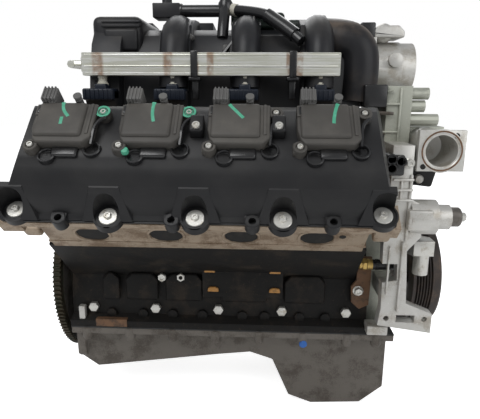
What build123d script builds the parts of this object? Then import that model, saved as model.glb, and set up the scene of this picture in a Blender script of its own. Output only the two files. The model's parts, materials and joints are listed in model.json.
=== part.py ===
from build123d import *
import math
import os

# A complete V8 engine in millimetres. X runs along the crankshaft towards the accessory end, Y towards
# the left bank and Z up. The origin is on the crankshaft's axis at its rear flange face.
# On a bank, "up" is measured along the bores from the crankshaft and "inwards" across them to the valley.

os.makedirs("parts", exist_ok=True)
half_root = math.sqrt(0.5)
RIGHT, LEFT = -1, 1

# Driving dimensions: bores and rotating gear
bore = 99.5
bore_pitch = 113.3
bank_stagger = 24.0
first_bore_x = 97.0
bores_per_bank = 4
stroke = 90.9
rod_length = 157.5
deck_height = 230.0
crown_below_deck = 0.5
running_fit = 0.05
seat_gap = 0.3
hidden_sides = 16

# Block
block_rear = 12.0
block_end_margin = 82.0
bank_half_width = 75.0
bore_foot = 86.0
skirt_depth = 64.0
skirt_half = 143.0
pan_rail_half = 160.0
pan_rail_thick = 12.0
valley_floor = 160.0
web = 26.0
bay_half = 122.0
bay_roof = 99.0
cap_half = 95.0
cap_depth = 50.0
cap_thick = 24.0
seal_thick = 8.0
cross_bolt_z = -30.0
cross_bolt_across = 16.0
cross_bolt_head = 9.0
mount_pad_x = (265.0, 379.0)
mount_pad_z = (8.0, 45.0)
mount_pad_rise = 5.0
mount_pad_margin = 14.0
mount_hole = 10.0
mount_hole_depth = 22.0

# Crankshaft
main_journal = 65.0
crank_pin = 54.0
cheek = 18.6
cheek_nose = 34.0
counterweight_radius = 78.0
crank_flange = 88.0
crank_flange_thick = 11.7
crank_snout = 44.0
crank_front = 684.0
pilot_bore = 25.0
pilot_depth = 12.0
throw_angles = (135.0, 225.0, 45.0, 315.0)

# Camshaft and timing drive
cam_height = 135.0
cam_journal = 54.0
cam_core = 34.0
cam_lobe_base = 19.0
cam_lobe_lift = 6.5
cam_lobe_width = 15.0
cam_plug = 6.0
sprocket_x = 552.0
sprocket_thick = 9.0
crank_sprocket_radius = 25.0
cam_sprocket_radius = 50.0
chain_thick = 5.0
chain_width = 15.0

# Pistons
piston_height = 50.0
piston_sides = 40
pin_below_crown = 26.5
piston_crown = 19.0
piston_flat_half = 36.0
piston_hollow = (52.0, 64.0)

# Heads and covers
gasket_thick = 1.5
head_end_margin = 74.0
head_rail_up = deck_height + 136.0
head_outer = 78.0
head_inner = 80.0
cover_outer = 112.0
cover_inner = 108.0
port_up = deck_height + 43.0
port_width = 51.0
port_height = 40.0
port_depth = 34.0
cover_rear = 10.0
cover_length = 515.0
cover_skin = 4.0
cover_lip = 8.0
cover_ledge = 46.0
cover_top = head_rail_up + 66.0
cover_bolt_x = (29.0, 154.0, 268.0, 381.0, 509.0)
cover_bolt_out = (97.0, 106.0, 107.0, 108.0, 98.0)
cover_washer = 25.0
stud_boss_x = (90.0, 238.0, 342.0, 445.0)

# Coils: how far the middle of each stands in front of its bore
coil_ahead = 4.0
coil_height = 18.0

# Spark plugs and rocker gear, "in" measured from the bores' plane towards the valley
plug_in = -10.0
plug_seat = deck_height + 32.0
plug_thread = 7.0
plug_well = 12.0
rocker_shaft_in = (-32.0, 12.0)
valve_in = (-62.0, 48.0)

# Oil pan
pan_gasket = 2.0
pan_rear = 12.0
pan_front = 590.0
pan_half = 128.0
pan_wall = 6.0
pan_flange = 12.0
pan_end_drop = 139.0

# Front end
timing_front = 590.0
timing_half = 105.0
timing_top = 212.0
timing_wall = 7.0
damper_radius = 101.6
damper_rear = 632.0
damper_front = 687.0
damper_inner = 86.0
damper_barrel = 58.0
wheel_sides = 60
pump_rotor_radius = 34.0
pump_shaft = 18.0
pump_casting_half = 138.0
bracket_face = 200.0
bracket_hole_x = (562.0, 624.0)
bracket_hole_z = -13.5
bracket_hole = 9.0
idler_rear = 650.0
pump_axis_z = 226.0
pump_pulley_radius = 52.0
pump_pulley_front = 674.0
thermostat_face = -200.0
thermostat_centre = (624.0, 264.0)
thermostat_bore = 48.0
idler_axis = (-186.0, 158.0)

# Flywheel end
ring_gear_radius = 165.0
ring_gear_inner = 150.0
ring_gear_rear = -14.0
flexplate_thick = 3.0

# Induction and fuel
rail_centre = (-165.0, 390.5)
rail_section = (24.0, 33.0)
rail_x = (73.0, 469.0)
throttle_axis_z = 393.0
throttle_flange_x = 541.0
throttle_front = 622.0
throttle_bore = 80.0
throttle_outer = 92.0
throttle_shaft_x = 584.0
throttle_collar_x = 598.0
throttle_collar = 88.0
injector_x = (100.0, 212.0, 325.0, 441.0)
injector_foot = 350.0
plenum_x = (80.0, 512.0)

# Oil filter
filter_radius = 37.0
filter_length = 82.0

near_bores = [first_bore_x + i * bore_pitch for i in range(bores_per_bank)]
main_x = [near_bores[0] + bank_stagger / 2 + (i - 0.5) * bore_pitch for i in range(bores_per_bank + 1)]
block_front = near_bores[-1] + bank_stagger + block_end_margin
throw = stroke / 2
deck_top = deck_height + gasket_thick
pan_top = -skirt_depth - pan_gasket
seal_outline = [(-cap_half, -skirt_depth), (-cap_half, 10), (-50, 62)]
filter_x = (main_x[-2] + main_x[-1]) / 2
barrel_rear = sprocket_x + (sprocket_thick + chain_width) / 2 + 1


def bank_shift(side):
    """How far a bank's bores stand forward of the right bank's."""
    return bank_stagger if side == LEFT else 0.0


def bank_section(side, x):
    """Plane across the engine at x, facing forward: local Y up the bank, local X across it."""
    return Plane(origin=(x, 0, 0), x_dir=(0, half_root, -side * half_root), z_dir=(1, 0, 0))


def bank_deck(side, up):
    """Plane parallel to a bank's deck: local X along the engine, local Y across the bank."""
    origin = (0, side * half_root * up, half_root * up)
    return Plane(origin=origin, x_dir=(1, 0, 0), z_dir=(0, side * half_root, half_root))


def bank_flank(out):
    """Plane on the right bank's exhaust side, facing outwards: local X along the engine, local Y up."""
    origin = (0, -half_root * out, -half_root * out)
    return Plane(origin=origin, x_dir=(1, 0, 0), z_dir=(0, -half_root, -half_root))


def bank_to_row(inwards, up):
    """Y and Z of a point of the right bank."""
    return (half_root * (inwards - up), half_root * (inwards + up))


def bar(x_from, x_to, radius, y=0.0, z=0.0, mode=Mode.ADD):
    """Round bar along X in the part being built."""
    with BuildSketch(Plane.YZ.offset(x_from)) as disc:
        with Locations((y, z)):
            Circle(radius)
    extrude(disc.sketch, amount=x_to - x_from, mode=mode)


def tunnel(x_from, x_to, radius, y=0.0, z=0.0):
    """Cut a many-sided hole along X whose flats stand at the given radius."""
    with BuildSketch(Plane.YZ.offset(x_from)) as face:
        with Locations((y, z)):
            RegularPolygon(radius, hidden_sides, major_radius=False)
    extrude(face.sketch, amount=x_to - x_from, mode=Mode.SUBTRACT)


def wheel(x_from, x_to, radius, sides, hole=0.0, y=0.0, z=0.0):
    """Many-sided wheel on an axis along X, with a bore."""
    with BuildSketch(Plane.YZ.offset(x_from)) as face:
        with Locations((y, z)):
            RegularPolygon(radius, sides)
            if hole:
                RegularPolygon(hole, hidden_sides, major_radius=False, mode=Mode.SUBTRACT)
    extrude(face.sketch, amount=x_to - x_from)


def rod(start, end, radius, sides):
    """Straight many-sided bar between two points."""
    run = Vector(*end) - Vector(*start)
    with BuildSketch(Plane(origin=start, z_dir=tuple(run))) as face:
        RegularPolygon(radius, sides)
    extrude(face.sketch, amount=run.length)


def slab(x_from, x_to, points, mode=Mode.ADD):
    """Plate across the engine, its outline given as (y, z) points."""
    with BuildSketch(Plane.YZ.offset(x_from)) as outline:
        with BuildLine():
            Polyline(*points, close=True)
        make_face()
    extrude(outline.sketch, amount=x_to - x_from, mode=mode)


def both_sides(points):
    """A half outline and its mirror image, as one closed outline."""
    return points + [(-y, z) for y, z in reversed(points)]


def far_copy(near):
    """The left bank's counterpart of a right bank piece: mirrored and moved forward by the stagger."""
    mirrored = mirror(near.part, about=Plane.XZ, mode=Mode.PRIVATE)
    with BuildPart() as far:
        with Locations((bank_stagger, 0, 0)):
            add(mirrored)
    return far


def write(piece, name):
    """Label a finished piece and write its file."""
    piece.part.label = name
    export_step(piece.part, f"parts/{name}.step")


# Cylinder block
with BuildPart() as engine_block:
    slab(block_rear, block_front, both_sides([
        (-pan_rail_half, -skirt_depth),
        (-pan_rail_half, -skirt_depth + pan_rail_thick),
        (-skirt_half, -skirt_depth + pan_rail_thick + 8),
        (-skirt_half, -15),
        (-skirt_half + 10, 28),
        (-95, 95),
        (-48, valley_floor),
    ]))
    for side in (RIGHT, LEFT):
        bank_front = near_bores[-1] + bank_shift(side) + block_end_margin
        with BuildSketch(bank_section(side, block_rear)):
            with Locations((0, (bore_foot + deck_height) / 2)):
                Rectangle(2 * bank_half_width, deck_height - bore_foot)
        extrude(amount=bank_front - block_rear)
    # mount pads on both skirts, with two pairs of tapped holes
    pad_size = (mount_pad_x[1] - mount_pad_x[0] + 2 * mount_pad_margin,
                mount_pad_z[1] - mount_pad_z[0] + 2 * mount_pad_margin)
    pad_centre = (sum(mount_pad_x) / 2, sum(mount_pad_z) / 2)
    for side in (RIGHT, LEFT):
        with BuildSketch(Plane.XZ.offset(-side * (skirt_half + mount_pad_rise))):
            with Locations(pad_centre):
                Rectangle(*pad_size)
        extrude(amount=side * 30)
    # flat seat of the oil filter, between two cross bolts of the left skirt
    with BuildSketch(Plane.XZ.offset(-skirt_half - mount_pad_rise)):
        with Locations((filter_x, 0)):
            Rectangle(2 * filter_radius + 4, 2 * filter_radius + 4)
    extrude(amount=30)
    # cylinders, crankcase bays and the slot that takes the main caps
    for side in (RIGHT, LEFT):
        with BuildSketch(bank_deck(side, deck_height)):
            with Locations(*[(x + bank_shift(side), 0) for x in near_bores]):
                Circle(bore / 2)
        extrude(amount=bore_foot - deck_height, mode=Mode.SUBTRACT)
    for x in main_x[:-1]:
        slab(x + web / 2, x + bore_pitch - web / 2, both_sides([
            (-bay_half, -skirt_depth),
            (-bay_half, bore_foot / half_root - bay_half),
            (bay_roof - bore_foot / half_root, bay_roof),
        ]), mode=Mode.SUBTRACT)
    slab(block_rear, block_front, [(-cap_half, -skirt_depth - 40), (cap_half, -skirt_depth - 40),
                                   (cap_half, 0), (-cap_half, 0)], mode=Mode.SUBTRACT)
    slab(block_rear, block_rear + seal_thick, both_sides(seal_outline), mode=Mode.SUBTRACT)
    tunnel(block_rear, block_front, main_journal / 2 + running_fit)
    tunnel(block_rear + cam_plug, block_front, cam_journal / 2 + running_fit, z=cam_height)
    # tapped holes of the right mount pad
    with BuildSketch(Plane.XZ.offset(skirt_half + mount_pad_rise)):
        with Locations(*[(x, z) for x in mount_pad_x for z in mount_pad_z]):
            Circle(mount_hole / 2)
    extrude(amount=-mount_hole_depth, mode=Mode.SUBTRACT)
write(engine_block, "engine_block")

# Main bearing caps
with BuildPart() as main_caps:
    for x in main_x:
        slab(x - cap_thick / 2, x + cap_thick / 2, both_sides([
            (-cap_half, 0),
            (-cap_half, cross_bolt_z - 8),
            (-cap_half + 30, -cap_depth),
        ]))
    tunnel(block_rear, block_front, main_journal / 2 + running_fit)
write(main_caps, "main_caps")

# Cross bolts through the skirts into the caps
with BuildPart() as cross_bolts:
    for side in (RIGHT, LEFT):
        with BuildSketch(Plane.XZ.offset(-side * skirt_half)):
            with Locations(*[(x, cross_bolt_z) for x in main_x]):
                RegularPolygon(cross_bolt_across / 2, 6, major_radius=False)
        extrude(amount=-side * cross_bolt_head)
write(cross_bolts, "cross_bolts")

# Rear seal housing, a plate round the crankshaft, let into the block's rear face
with BuildPart() as rear_seal_housing:
    slab(block_rear, block_rear + seal_thick, both_sides(seal_outline))
    tunnel(block_rear, block_rear + seal_thick, main_journal / 2 + seat_gap)
write(rear_seal_housing, "rear_seal_housing")

# Crankshaft
with BuildPart() as crankshaft:
    wheel(0, crank_flange_thick, crank_flange / 2, 24)
    wheel(crank_flange_thick, main_x[0] + web / 2, main_journal / 2, hidden_sides)
    for x in main_x[1:-1]:
        wheel(x - web / 2, x + web / 2, main_journal / 2, hidden_sides)
    wheel(main_x[-1] - web / 2, block_front, main_journal / 2, hidden_sides)
    wheel(block_front, crank_front, crank_snout / 2, hidden_sides)
    for x, angle in zip(main_x[:-1], throw_angles):
        pin_rear = x + web / 2 + cheek
        pin_front = x + bore_pitch - web / 2 - cheek
        turn = math.radians(angle)
        along = (0, math.cos(turn), math.sin(turn))
        with BuildSketch(Plane(origin=(pin_rear, 0, 0), x_dir=along, z_dir=(1, 0, 0))):
            with Locations((throw, 0)):
                RegularPolygon(crank_pin / 2, hidden_sides)
        extrude(amount=pin_front - pin_rear)
        for cheek_rear in (pin_rear - cheek, pin_front):
            rim = [math.radians(115 + 26 * i) for i in range(6)]
            with BuildSketch(Plane(origin=(cheek_rear, 0, 0), x_dir=along, z_dir=(1, 0, 0))):
                with BuildLine():
                    Polyline(*[(counterweight_radius * math.cos(a), counterweight_radius * math.sin(a)) for a in rim],
                             (throw, -cheek_nose), (throw + cheek_nose, -12), (throw + cheek_nose, 12),
                             (throw, cheek_nose), close=True)
                make_face()
            extrude(amount=cheek)
    bar(0, pilot_depth, pilot_bore / 2, mode=Mode.SUBTRACT)
write(crankshaft, "crankshaft")

# Camshaft: bearing journals, and between them the two lobes of each of the bay's two cylinders
lobe_firing = (0.0, 90.0, 270.0, 180.0)
with BuildPart() as camshaft:
    with BuildSketch(Plane.YZ.offset(block_rear + cam_plug + 1)):
        with Locations((0, cam_height)):
            RegularPolygon(cam_core / 2, 6)
    extrude(amount=sprocket_x - block_rear - cam_plug - 1)
    for x in main_x:
        with BuildSketch(Plane.YZ.offset(x - web / 2)):
            with Locations((0, cam_height)):
                RegularPolygon(cam_journal / 2, hidden_sides)
        extrude(amount=web)
    for x, firing in zip(main_x[:-1], lobe_firing):
        for i in range(4):
            turn = math.radians(firing / 2 + 55 * i)
            lobe_rear = x + web / 2 + 8 + i * (cam_lobe_width + 4)
            lobe_plane = Plane(origin=(lobe_rear, 0, cam_height), x_dir=(0, math.cos(turn), math.sin(turn)),
                               z_dir=(1, 0, 0))
            nose = cam_lobe_base + cam_lobe_lift
            with BuildSketch(lobe_plane):
                with BuildLine():
                    Polyline((0, -cam_lobe_base), (nose, -4), (nose, 4), (0, cam_lobe_base),
                             (-cam_lobe_base * half_root * 1.3, cam_lobe_base / 2),
                             (-cam_lobe_base * half_root * 1.3, -cam_lobe_base / 2), close=True)
                make_face()
            extrude(amount=cam_lobe_width)
write(camshaft, "camshaft")

# Pistons: the two of one crankshaft throw lie one stagger apart; the crankshaft stands with the right
# bank's rear cylinder at the top of its stroke
for side, bank in ((RIGHT, "right"), (LEFT, "left")):
    bank_angle = 135.0 if side == RIGHT else 45.0
    for number, (x, angle) in enumerate(zip(near_bores, throw_angles), start=1):
        swing = math.radians(angle - bank_angle)
        pin_up = throw * math.cos(swing) + math.sqrt(rod_length ** 2 - (throw * math.sin(swing)) ** 2)
        top_dead_centre = throw + rod_length
        crown_up = deck_height - crown_below_deck - top_dead_centre + pin_up
        with BuildPart() as piston:
            with BuildSketch(bank_deck(side, crown_up)):
                with Locations((x + bank_shift(side), 0)):
                    RegularPolygon(bore / 2 - running_fit, piston_sides)
            extrude(amount=-piston_height)
            with BuildSketch(bank_deck(side, crown_up - piston_height)):
                with Locations((x + bank_shift(side), 0)):
                    Rectangle(*piston_hollow)
                for end in (-1, 1):
                    with Locations((x + bank_shift(side) + end * (piston_flat_half + 20), 0)):
                        Rectangle(40, bore)
            extrude(amount=piston_height - piston_crown, mode=Mode.SUBTRACT)
        write(piston, f"piston_{bank}_{number}")

# Head gaskets
with BuildPart() as head_gasket_near:
    with BuildSketch(bank_deck(RIGHT, deck_height)):
        with Locations(((near_bores[0] + near_bores[-1]) / 2, 0)):
            Rectangle(bore_pitch * (bores_per_bank - 1) + 2 * head_end_margin, 2 * bank_half_width)
        with Locations(*[(x, 0) for x in near_bores]):
            RegularPolygon(bore / 2 + 2, hidden_sides, mode=Mode.SUBTRACT)
    extrude(amount=gasket_thick)
with BuildPart() as head_gaskets:
    add(head_gasket_near.part)
    add(far_copy(head_gasket_near).part)
write(head_gaskets, "head_gaskets")

# Cylinder heads: a section along the bank with the exhaust face on the outside, and its ports
intake_face = ((head_inner, deck_top + 30), (head_inner + 17, head_rail_up - 56))
head_rear = near_bores[0] - head_end_margin
head_length = bore_pitch * (bores_per_bank - 1) + 2 * head_end_margin
with BuildPart() as cylinder_head_right:
    with BuildSketch(bank_section(RIGHT, head_rear)):
        with BuildLine():
            Polyline((-head_outer, deck_top), (-head_outer, head_rail_up - 28), (-cover_outer, head_rail_up - 10),
                     (-cover_outer, head_rail_up), (cover_inner, head_rail_up), (cover_inner, head_rail_up - 22),
                     intake_face[1], intake_face[0], (head_inner, deck_top),
                     close=True)
        make_face()
    extrude(amount=head_length)
    # corner lugs beyond both ends
    with BuildSketch(bank_flank(cover_outer)):
        for end, lug_x in ((-1, head_rear), (1, head_rear + head_length)):
            with Locations((lug_x + end * 7, head_rail_up - 12)):
                Rectangle(30, 24)
    extrude(amount=-36)
    port_corners = [(port_width / 2 * math.cos(a) * 1.03, port_height / 2 * math.sin(a))
                    for a in [math.radians(18 + 36 * i) for i in range(10)]]
    with BuildSketch(bank_flank(head_outer)):
        with Locations(*[(x, port_up) for x in near_bores]):
            Polygon(*port_corners, align=None)
    extrude(amount=-port_depth, mode=Mode.SUBTRACT)
    # wells of the spark plugs
    for foot, top, radius in ((deck_top, plug_seat, plug_thread), (plug_seat, head_rail_up, plug_well)):
        with BuildSketch(bank_deck(RIGHT, foot)):
            with Locations(*[(x, plug_in) for x in near_bores]):
                RegularPolygon(radius, 8, major_radius=False)
        extrude(amount=top - foot, mode=Mode.SUBTRACT)
write(cylinder_head_right, "cylinder_head_right")
write(far_copy(cylinder_head_right), "cylinder_head_left")

# Spark plugs, each screwed down a well in the middle of its chamber
with BuildPart() as spark_plugs:
    for side in (RIGHT, LEFT):
        middles = [(x + bank_shift(side), -side * plug_in) for x in near_bores]
        for foot, top, radius in ((deck_top, plug_seat, plug_thread - running_fit),
                                  (plug_seat, plug_seat + 22, 9.0), (plug_seat + 22, plug_seat + 60, 5.0)):
            with BuildSketch(bank_deck(side, foot)):
                with Locations(*middles):
                    RegularPolygon(radius, 8, major_radius=False)
            extrude(amount=top - foot)
write(spark_plugs, "spark_plugs")

# Rocker gear under the covers: two shafts a bank on their pedestals, a rocker and a spring to each valve
with BuildPart() as rocker_shafts_near:
    for across in rocker_shaft_in:
        with BuildSketch(bank_section(RIGHT, near_bores[0] - 38)):
            with Locations((across, head_rail_up + 16)):
                RegularPolygon(8, 8)
        extrude(amount=near_bores[-1] - near_bores[0] + 76)
        with BuildSketch(bank_deck(RIGHT, head_rail_up)):
            with Locations(*[(x, across) for x in near_bores]):
                Rectangle(14, 12)
        extrude(amount=12)
with BuildPart() as rocker_shafts:
    add(rocker_shafts_near.part)
    add(far_copy(rocker_shafts_near).part)
write(rocker_shafts, "rocker_shafts")
with BuildPart() as rocker_arms_near:
    for across, tip in zip(rocker_shaft_in, valve_in):
        for x in near_bores:
            with BuildSketch(bank_section(RIGHT, x + (24 if tip > 0 else -32))):
                with BuildLine():
                    Polyline((tip - 7, head_rail_up + 26.3), (tip + 7, head_rail_up + 26.3),
                             (across + 4, head_rail_up + 36), (across - 4, head_rail_up + 36), close=True)
                make_face()
            extrude(amount=12)
with BuildPart() as rocker_arms:
    add(rocker_arms_near.part)
    add(far_copy(rocker_arms_near).part)
write(rocker_arms, "rocker_arms")
with BuildPart() as valve_springs_near:
    with BuildSketch(bank_deck(RIGHT, head_rail_up)):
        for tip in valve_in:
            with Locations(*[(x + (30 if tip > 0 else -26), tip) for x in near_bores]):
                RegularPolygon(12, 8)
    extrude(amount=26)
with BuildPart() as valve_springs:
    add(valve_springs_near.part)
    add(far_copy(valve_springs_near).part)
write(valve_springs, "valve_springs")

# Valve covers: a moulded shell whose ends lean in towards the coil deck
with BuildPart() as valve_cover_right:
    def cover_outline(skin):
        """Section of the cover's skin, as (inwards, up) points, drawn in by skin."""
        lip = 0 if skin == 0 else cover_lip
        return [(-cover_outer + lip, head_rail_up - skin), (-cover_outer + lip, head_rail_up + cover_lip - skin),
                (-cover_outer + 9 + skin, head_rail_up + cover_lip + 2 - skin),
                (-cover_outer + 15 + skin, head_rail_up + 29 - skin),
                (-cover_outer + 29 + skin, head_rail_up + 48 - skin),
                (-cover_ledge - 16 + skin, cover_top - 6 - skin), (-cover_ledge, cover_top - skin),
                (88 - skin, cover_top - skin),
                (cover_inner - 10 - skin, head_rail_up + 30 - skin), (cover_inner - skin, head_rail_up + cover_lip),
                (cover_inner - skin, head_rail_up - skin)]
    with BuildSketch(bank_section(RIGHT, cover_rear)):
        with BuildLine():
            Polyline(*cover_outline(0), close=True)
        make_face()
    extrude(amount=cover_length)
    with BuildSketch(bank_flank(cover_outer + 20)):
        with BuildLine():
            Polyline((cover_rear, head_rail_up - 1), (cover_rear, head_rail_up + cover_lip),
                     (cover_rear + 30, cover_top + 3), (cover_rear + cover_length - 20, cover_top + 3),
                     (cover_rear + cover_length, head_rail_up + cover_lip),
                     (cover_rear + cover_length, head_rail_up - 1), close=True)
        make_face()
    extrude(amount=-300, mode=Mode.INTERSECT)
    with BuildSketch(bank_section(RIGHT, cover_rear + 36)):
        with BuildLine():
            Polyline(*cover_outline(cover_skin), close=True)
        make_face()
    extrude(amount=cover_length - 62, mode=Mode.SUBTRACT)
    # hollows that let a socket reach each bolt
    for x, out in zip(cover_bolt_x, cover_bolt_out):
        with BuildSketch(bank_deck(RIGHT, head_rail_up + cover_lip)):
            with Locations((x, -out)):
                Rectangle(30, 32)
        extrude(amount=60, mode=Mode.SUBTRACT)
    with BuildSketch(bank_deck(RIGHT, head_rail_up)):
        with Locations(*[(x, -cover_outer) for x in stud_boss_x]):
            Rectangle(15, 14)
        with Locations(*[(x, -out) for x, out in zip(cover_bolt_x, cover_bolt_out)]):
            RegularPolygon(16, 10)
    extrude(amount=cover_lip)
write(valve_cover_right, "valve_cover_right")
write(far_copy(valve_cover_right), "valve_cover_left")

# Valve cover bolts: a hexagon on a washer
with BuildPart() as valve_cover_bolts_right:
    seat = head_rail_up + cover_lip
    for height, radius in ((2.5, cover_washer / 2), (9.0, 6.5)):
        with BuildSketch(bank_deck(RIGHT, seat)):
            with Locations(*[(x, -out) for x, out in zip(cover_bolt_x, cover_bolt_out)]):
                RegularPolygon(radius, 10 if radius > 10 else 6)
        extrude(amount=height)
with BuildPart() as valve_cover_bolts:
    add(valve_cover_bolts_right.part)
    add(far_copy(valve_cover_bolts_right).part)
write(valve_cover_bolts, "valve_cover_bolts")

# Ignition coils, one over each cylinder: lid, connector tower and two screw tabs
with BuildPart() as coil_packs_right:
    coil_outline = [(-40, -36), (-34, -42), (24, -42), (34, -34), (34, 24), (-44, 24), (-44, -20)]
    for x in near_bores:
        with BuildSketch(bank_deck(RIGHT, cover_top)):
            with Locations((x + coil_ahead, -2)):
                Polygon(*coil_outline, align=None)
        extrude(amount=coil_height)
        with BuildSketch(bank_deck(RIGHT, cover_top)):
            with Locations((x + coil_ahead - 28, 28)):
                Rectangle(20, 22)
        extrude(amount=coil_height + 8)
        with BuildSketch(bank_deck(RIGHT, cover_top)):
            with Locations((x + coil_ahead - 41, -45), (x + coil_ahead + 43, 10)):
                Rectangle(19, 17)
        extrude(amount=12)
write(coil_packs_right, "coil_packs_right")
write(far_copy(coil_packs_right), "coil_packs_left")

# Oil pan: a cast tray, shallow under the rear cylinders and deep at the sump
pan_side = [(pan_rear, pan_top), (pan_rear, -pan_end_drop), (45, -163), (275, -132), (336, -125), (378, -139),
            (410, -213), (453, -229), (545, -224), (586, -189), (586, pan_top)]
pan_inside = [(pan_rear + 18, pan_top + 1), (pan_rear + 18, -134), (50, -153), (275, -124), (338, -117), (385, -135),
              (417, -207), (455, -222), (542, -217), (578, -186), (578, pan_top + 1)]
with BuildPart() as oil_pan:
    for outline, half, mode in ((pan_side, pan_half, Mode.ADD), (pan_inside, pan_half - pan_wall, Mode.SUBTRACT)):
        with BuildSketch(Plane.XZ):
            with BuildLine():
                Polyline(*outline, close=True)
            make_face()
        extrude(amount=half, both=True, mode=mode)
    with BuildSketch(Plane.XY.offset(pan_top)):
        with Locations(((pan_rear + pan_front) / 2, 0)):
            Rectangle(pan_front - pan_rear, 2 * pan_rail_half)
            Rectangle(pan_front - pan_rear - 44, 2 * (pan_half - pan_wall), mode=Mode.SUBTRACT)
    extrude(amount=-pan_flange)
    slab(pan_rear, pan_rear + 16, both_sides([(-140, pan_top), (-140, -pan_end_drop + 8), (-132, -pan_end_drop)]))
write(oil_pan, "oil_pan")

with BuildPart() as pan_gasket_sheet:
    with BuildSketch(Plane.XY.offset(pan_top)):
        with Locations(((pan_rear + pan_front) / 2, 0)):
            Rectangle(pan_front - pan_rear, 2 * pan_rail_half)
            Rectangle(pan_front - pan_rear - 44, 2 * (pan_half - pan_wall), mode=Mode.SUBTRACT)
    extrude(amount=pan_gasket)
write(pan_gasket_sheet, "pan_gasket")

# Timing cover: a deep shell over the chain, open to the block
cover_half = [(-timing_half, -skirt_depth), (-timing_half, 60), (-80, 150), (-62, timing_top)]
chest_half = [(y + timing_wall, min(z, timing_top - timing_wall)) for y, z in cover_half]
with BuildPart() as timing_cover:
    slab(block_front, timing_front, both_sides(cover_half))
    slab(block_front, timing_front - timing_wall, both_sides(chest_half), mode=Mode.SUBTRACT)
    tunnel(timing_front - timing_wall, timing_front, damper_barrel / 2 + seat_gap)
write(timing_cover, "timing_cover")

# Timing drive and oil pump
with BuildPart() as crank_sprocket:
    wheel(sprocket_x, sprocket_x + sprocket_thick, crank_sprocket_radius, 24, crank_snout / 2 + running_fit)
write(crank_sprocket, "crank_sprocket")
with BuildPart() as cam_sprocket:
    wheel(sprocket_x, sprocket_x + sprocket_thick, cam_sprocket_radius, 24, z=cam_height)
write(cam_sprocket, "cam_sprocket")
with BuildPart() as timing_chain:
    chain_rear = sprocket_x - (chain_width - sprocket_thick) / 2
    for extra, mode in ((chain_thick, Mode.ADD), (0, Mode.SUBTRACT)):
        with BuildSketch(Plane.YZ.offset(chain_rear)):
            RegularPolygon(crank_sprocket_radius + seat_gap + extra, hidden_sides, major_radius=False)
            with Locations((0, cam_height)):
                RegularPolygon(cam_sprocket_radius + seat_gap + extra, hidden_sides, major_radius=False)
            make_hull()
        extrude(amount=chain_width, mode=mode)
write(timing_chain, "timing_chain")
with BuildPart() as oil_pump_housing:
    wheel(block_front, sprocket_x - 4, 48, hidden_sides, pump_rotor_radius + seat_gap)
write(oil_pump_housing, "oil_pump_housing")
with BuildPart() as oil_pump_rotor:
    wheel(block_front + 0.5, sprocket_x - 4, pump_rotor_radius, 12, crank_snout / 2 + running_fit)
write(oil_pump_rotor, "oil_pump_rotor")
with BuildPart() as oil_pickup:
    with BuildSketch(Plane.XY.offset(-212)):
        with Locations((main_x[-1], 0)):
            RegularPolygon(34, 12)
    extrude(amount=14)
    with BuildSketch(Plane.XY.offset(-198)):
        with Locations((main_x[-1], 0)):
            RegularPolygon(10, 8)
    extrude(amount=198 - cap_depth)
write(oil_pickup, "oil_pickup")

# Damper on the crankshaft's nose: a hub with a ring bonded round it
with BuildPart() as damper_hub:
    wheel(barrel_rear, damper_front, damper_barrel / 2, hidden_sides, crank_snout / 2 + running_fit)
    wheel(damper_rear + 18, damper_rear + 34, damper_inner, 24, crank_snout / 2 + running_fit)
write(damper_hub, "damper_hub")
with BuildPart() as damper_ring:
    with BuildSketch(Plane.YZ.offset(damper_rear)):
        RegularPolygon(damper_radius, wheel_sides)
        RegularPolygon(damper_inner, 24, mode=Mode.SUBTRACT)
    extrude(amount=damper_front - damper_rear)
write(damper_ring, "damper_ring")

# Flexplate and its ring gear behind the crankshaft's flange
with BuildPart() as flexplate:
    wheel(-flexplate_thick, 0, ring_gear_inner, wheel_sides, pilot_bore / 2 + seat_gap)
write(flexplate, "flexplate")
with BuildPart() as ring_gear:
    with BuildSketch(Plane.YZ.offset(ring_gear_rear)):
        RegularPolygon(ring_gear_radius, wheel_sides)
        RegularPolygon(ring_gear_inner, wheel_sides, mode=Mode.SUBTRACT)
    extrude(amount=-ring_gear_rear)
write(ring_gear, "ring_gear")
with BuildPart() as flexplate_bolts:
    with BuildSketch(Plane.YZ.offset(-flexplate_thick)):
        with PolarLocations(crank_flange / 2 - 10, 8):
            RegularPolygon(8, 6)
    extrude(amount=-7)
write(flexplate_bolts, "flexplate_bolts")

# Water pump: housing with its crossover casting, and the turning shaft with impeller and pulley
with BuildPart() as water_pump_housing:
    slab(552, 592, [(-pump_casting_half, 252), (-pump_casting_half, 360), (-56, 360), (-56, 322), (64, 322), (64, timing_top), (-64, timing_top),
                    (-92, 252)])
    wheel(timing_front, 634, 46, hidden_sides, z=pump_axis_z)
    with BuildSketch(Plane.XZ.offset(60)):
        with Locations(thermostat_centre):
            Rectangle(66, 60)
    extrude(amount=50)
    for y, z, x_to in ((-120, 348, 622), (-120, 328, 617), (-120, 306, 640)):
        with BuildSketch(Plane.YZ.offset(592)):
            with Locations((y, z)):
                RegularPolygon(10, 10)
        extrude(amount=x_to - 592)
    with BuildSketch(Plane.YZ.offset(timing_front + 2)):
        with Locations((0, pump_axis_z)):
            RegularPolygon(36, hidden_sides)
    extrude(amount=24, mode=Mode.SUBTRACT)
    with BuildSketch(Plane.YZ.offset(timing_front + 26)):
        with Locations((0, pump_axis_z)):
            RegularPolygon(pump_shaft / 2 + seat_gap, hidden_sides, major_radius=False)
    extrude(amount=40, mode=Mode.SUBTRACT)
write(water_pump_housing, "water_pump_housing")
with BuildPart() as water_pump_impeller:
    wheel(timing_front + 8, timing_front + 20, 30, 12, z=pump_axis_z)
    wheel(timing_front + 20, pump_pulley_front + 2, pump_shaft / 2, hidden_sides, z=pump_axis_z)
write(water_pump_impeller, "water_pump_impeller")
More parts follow.
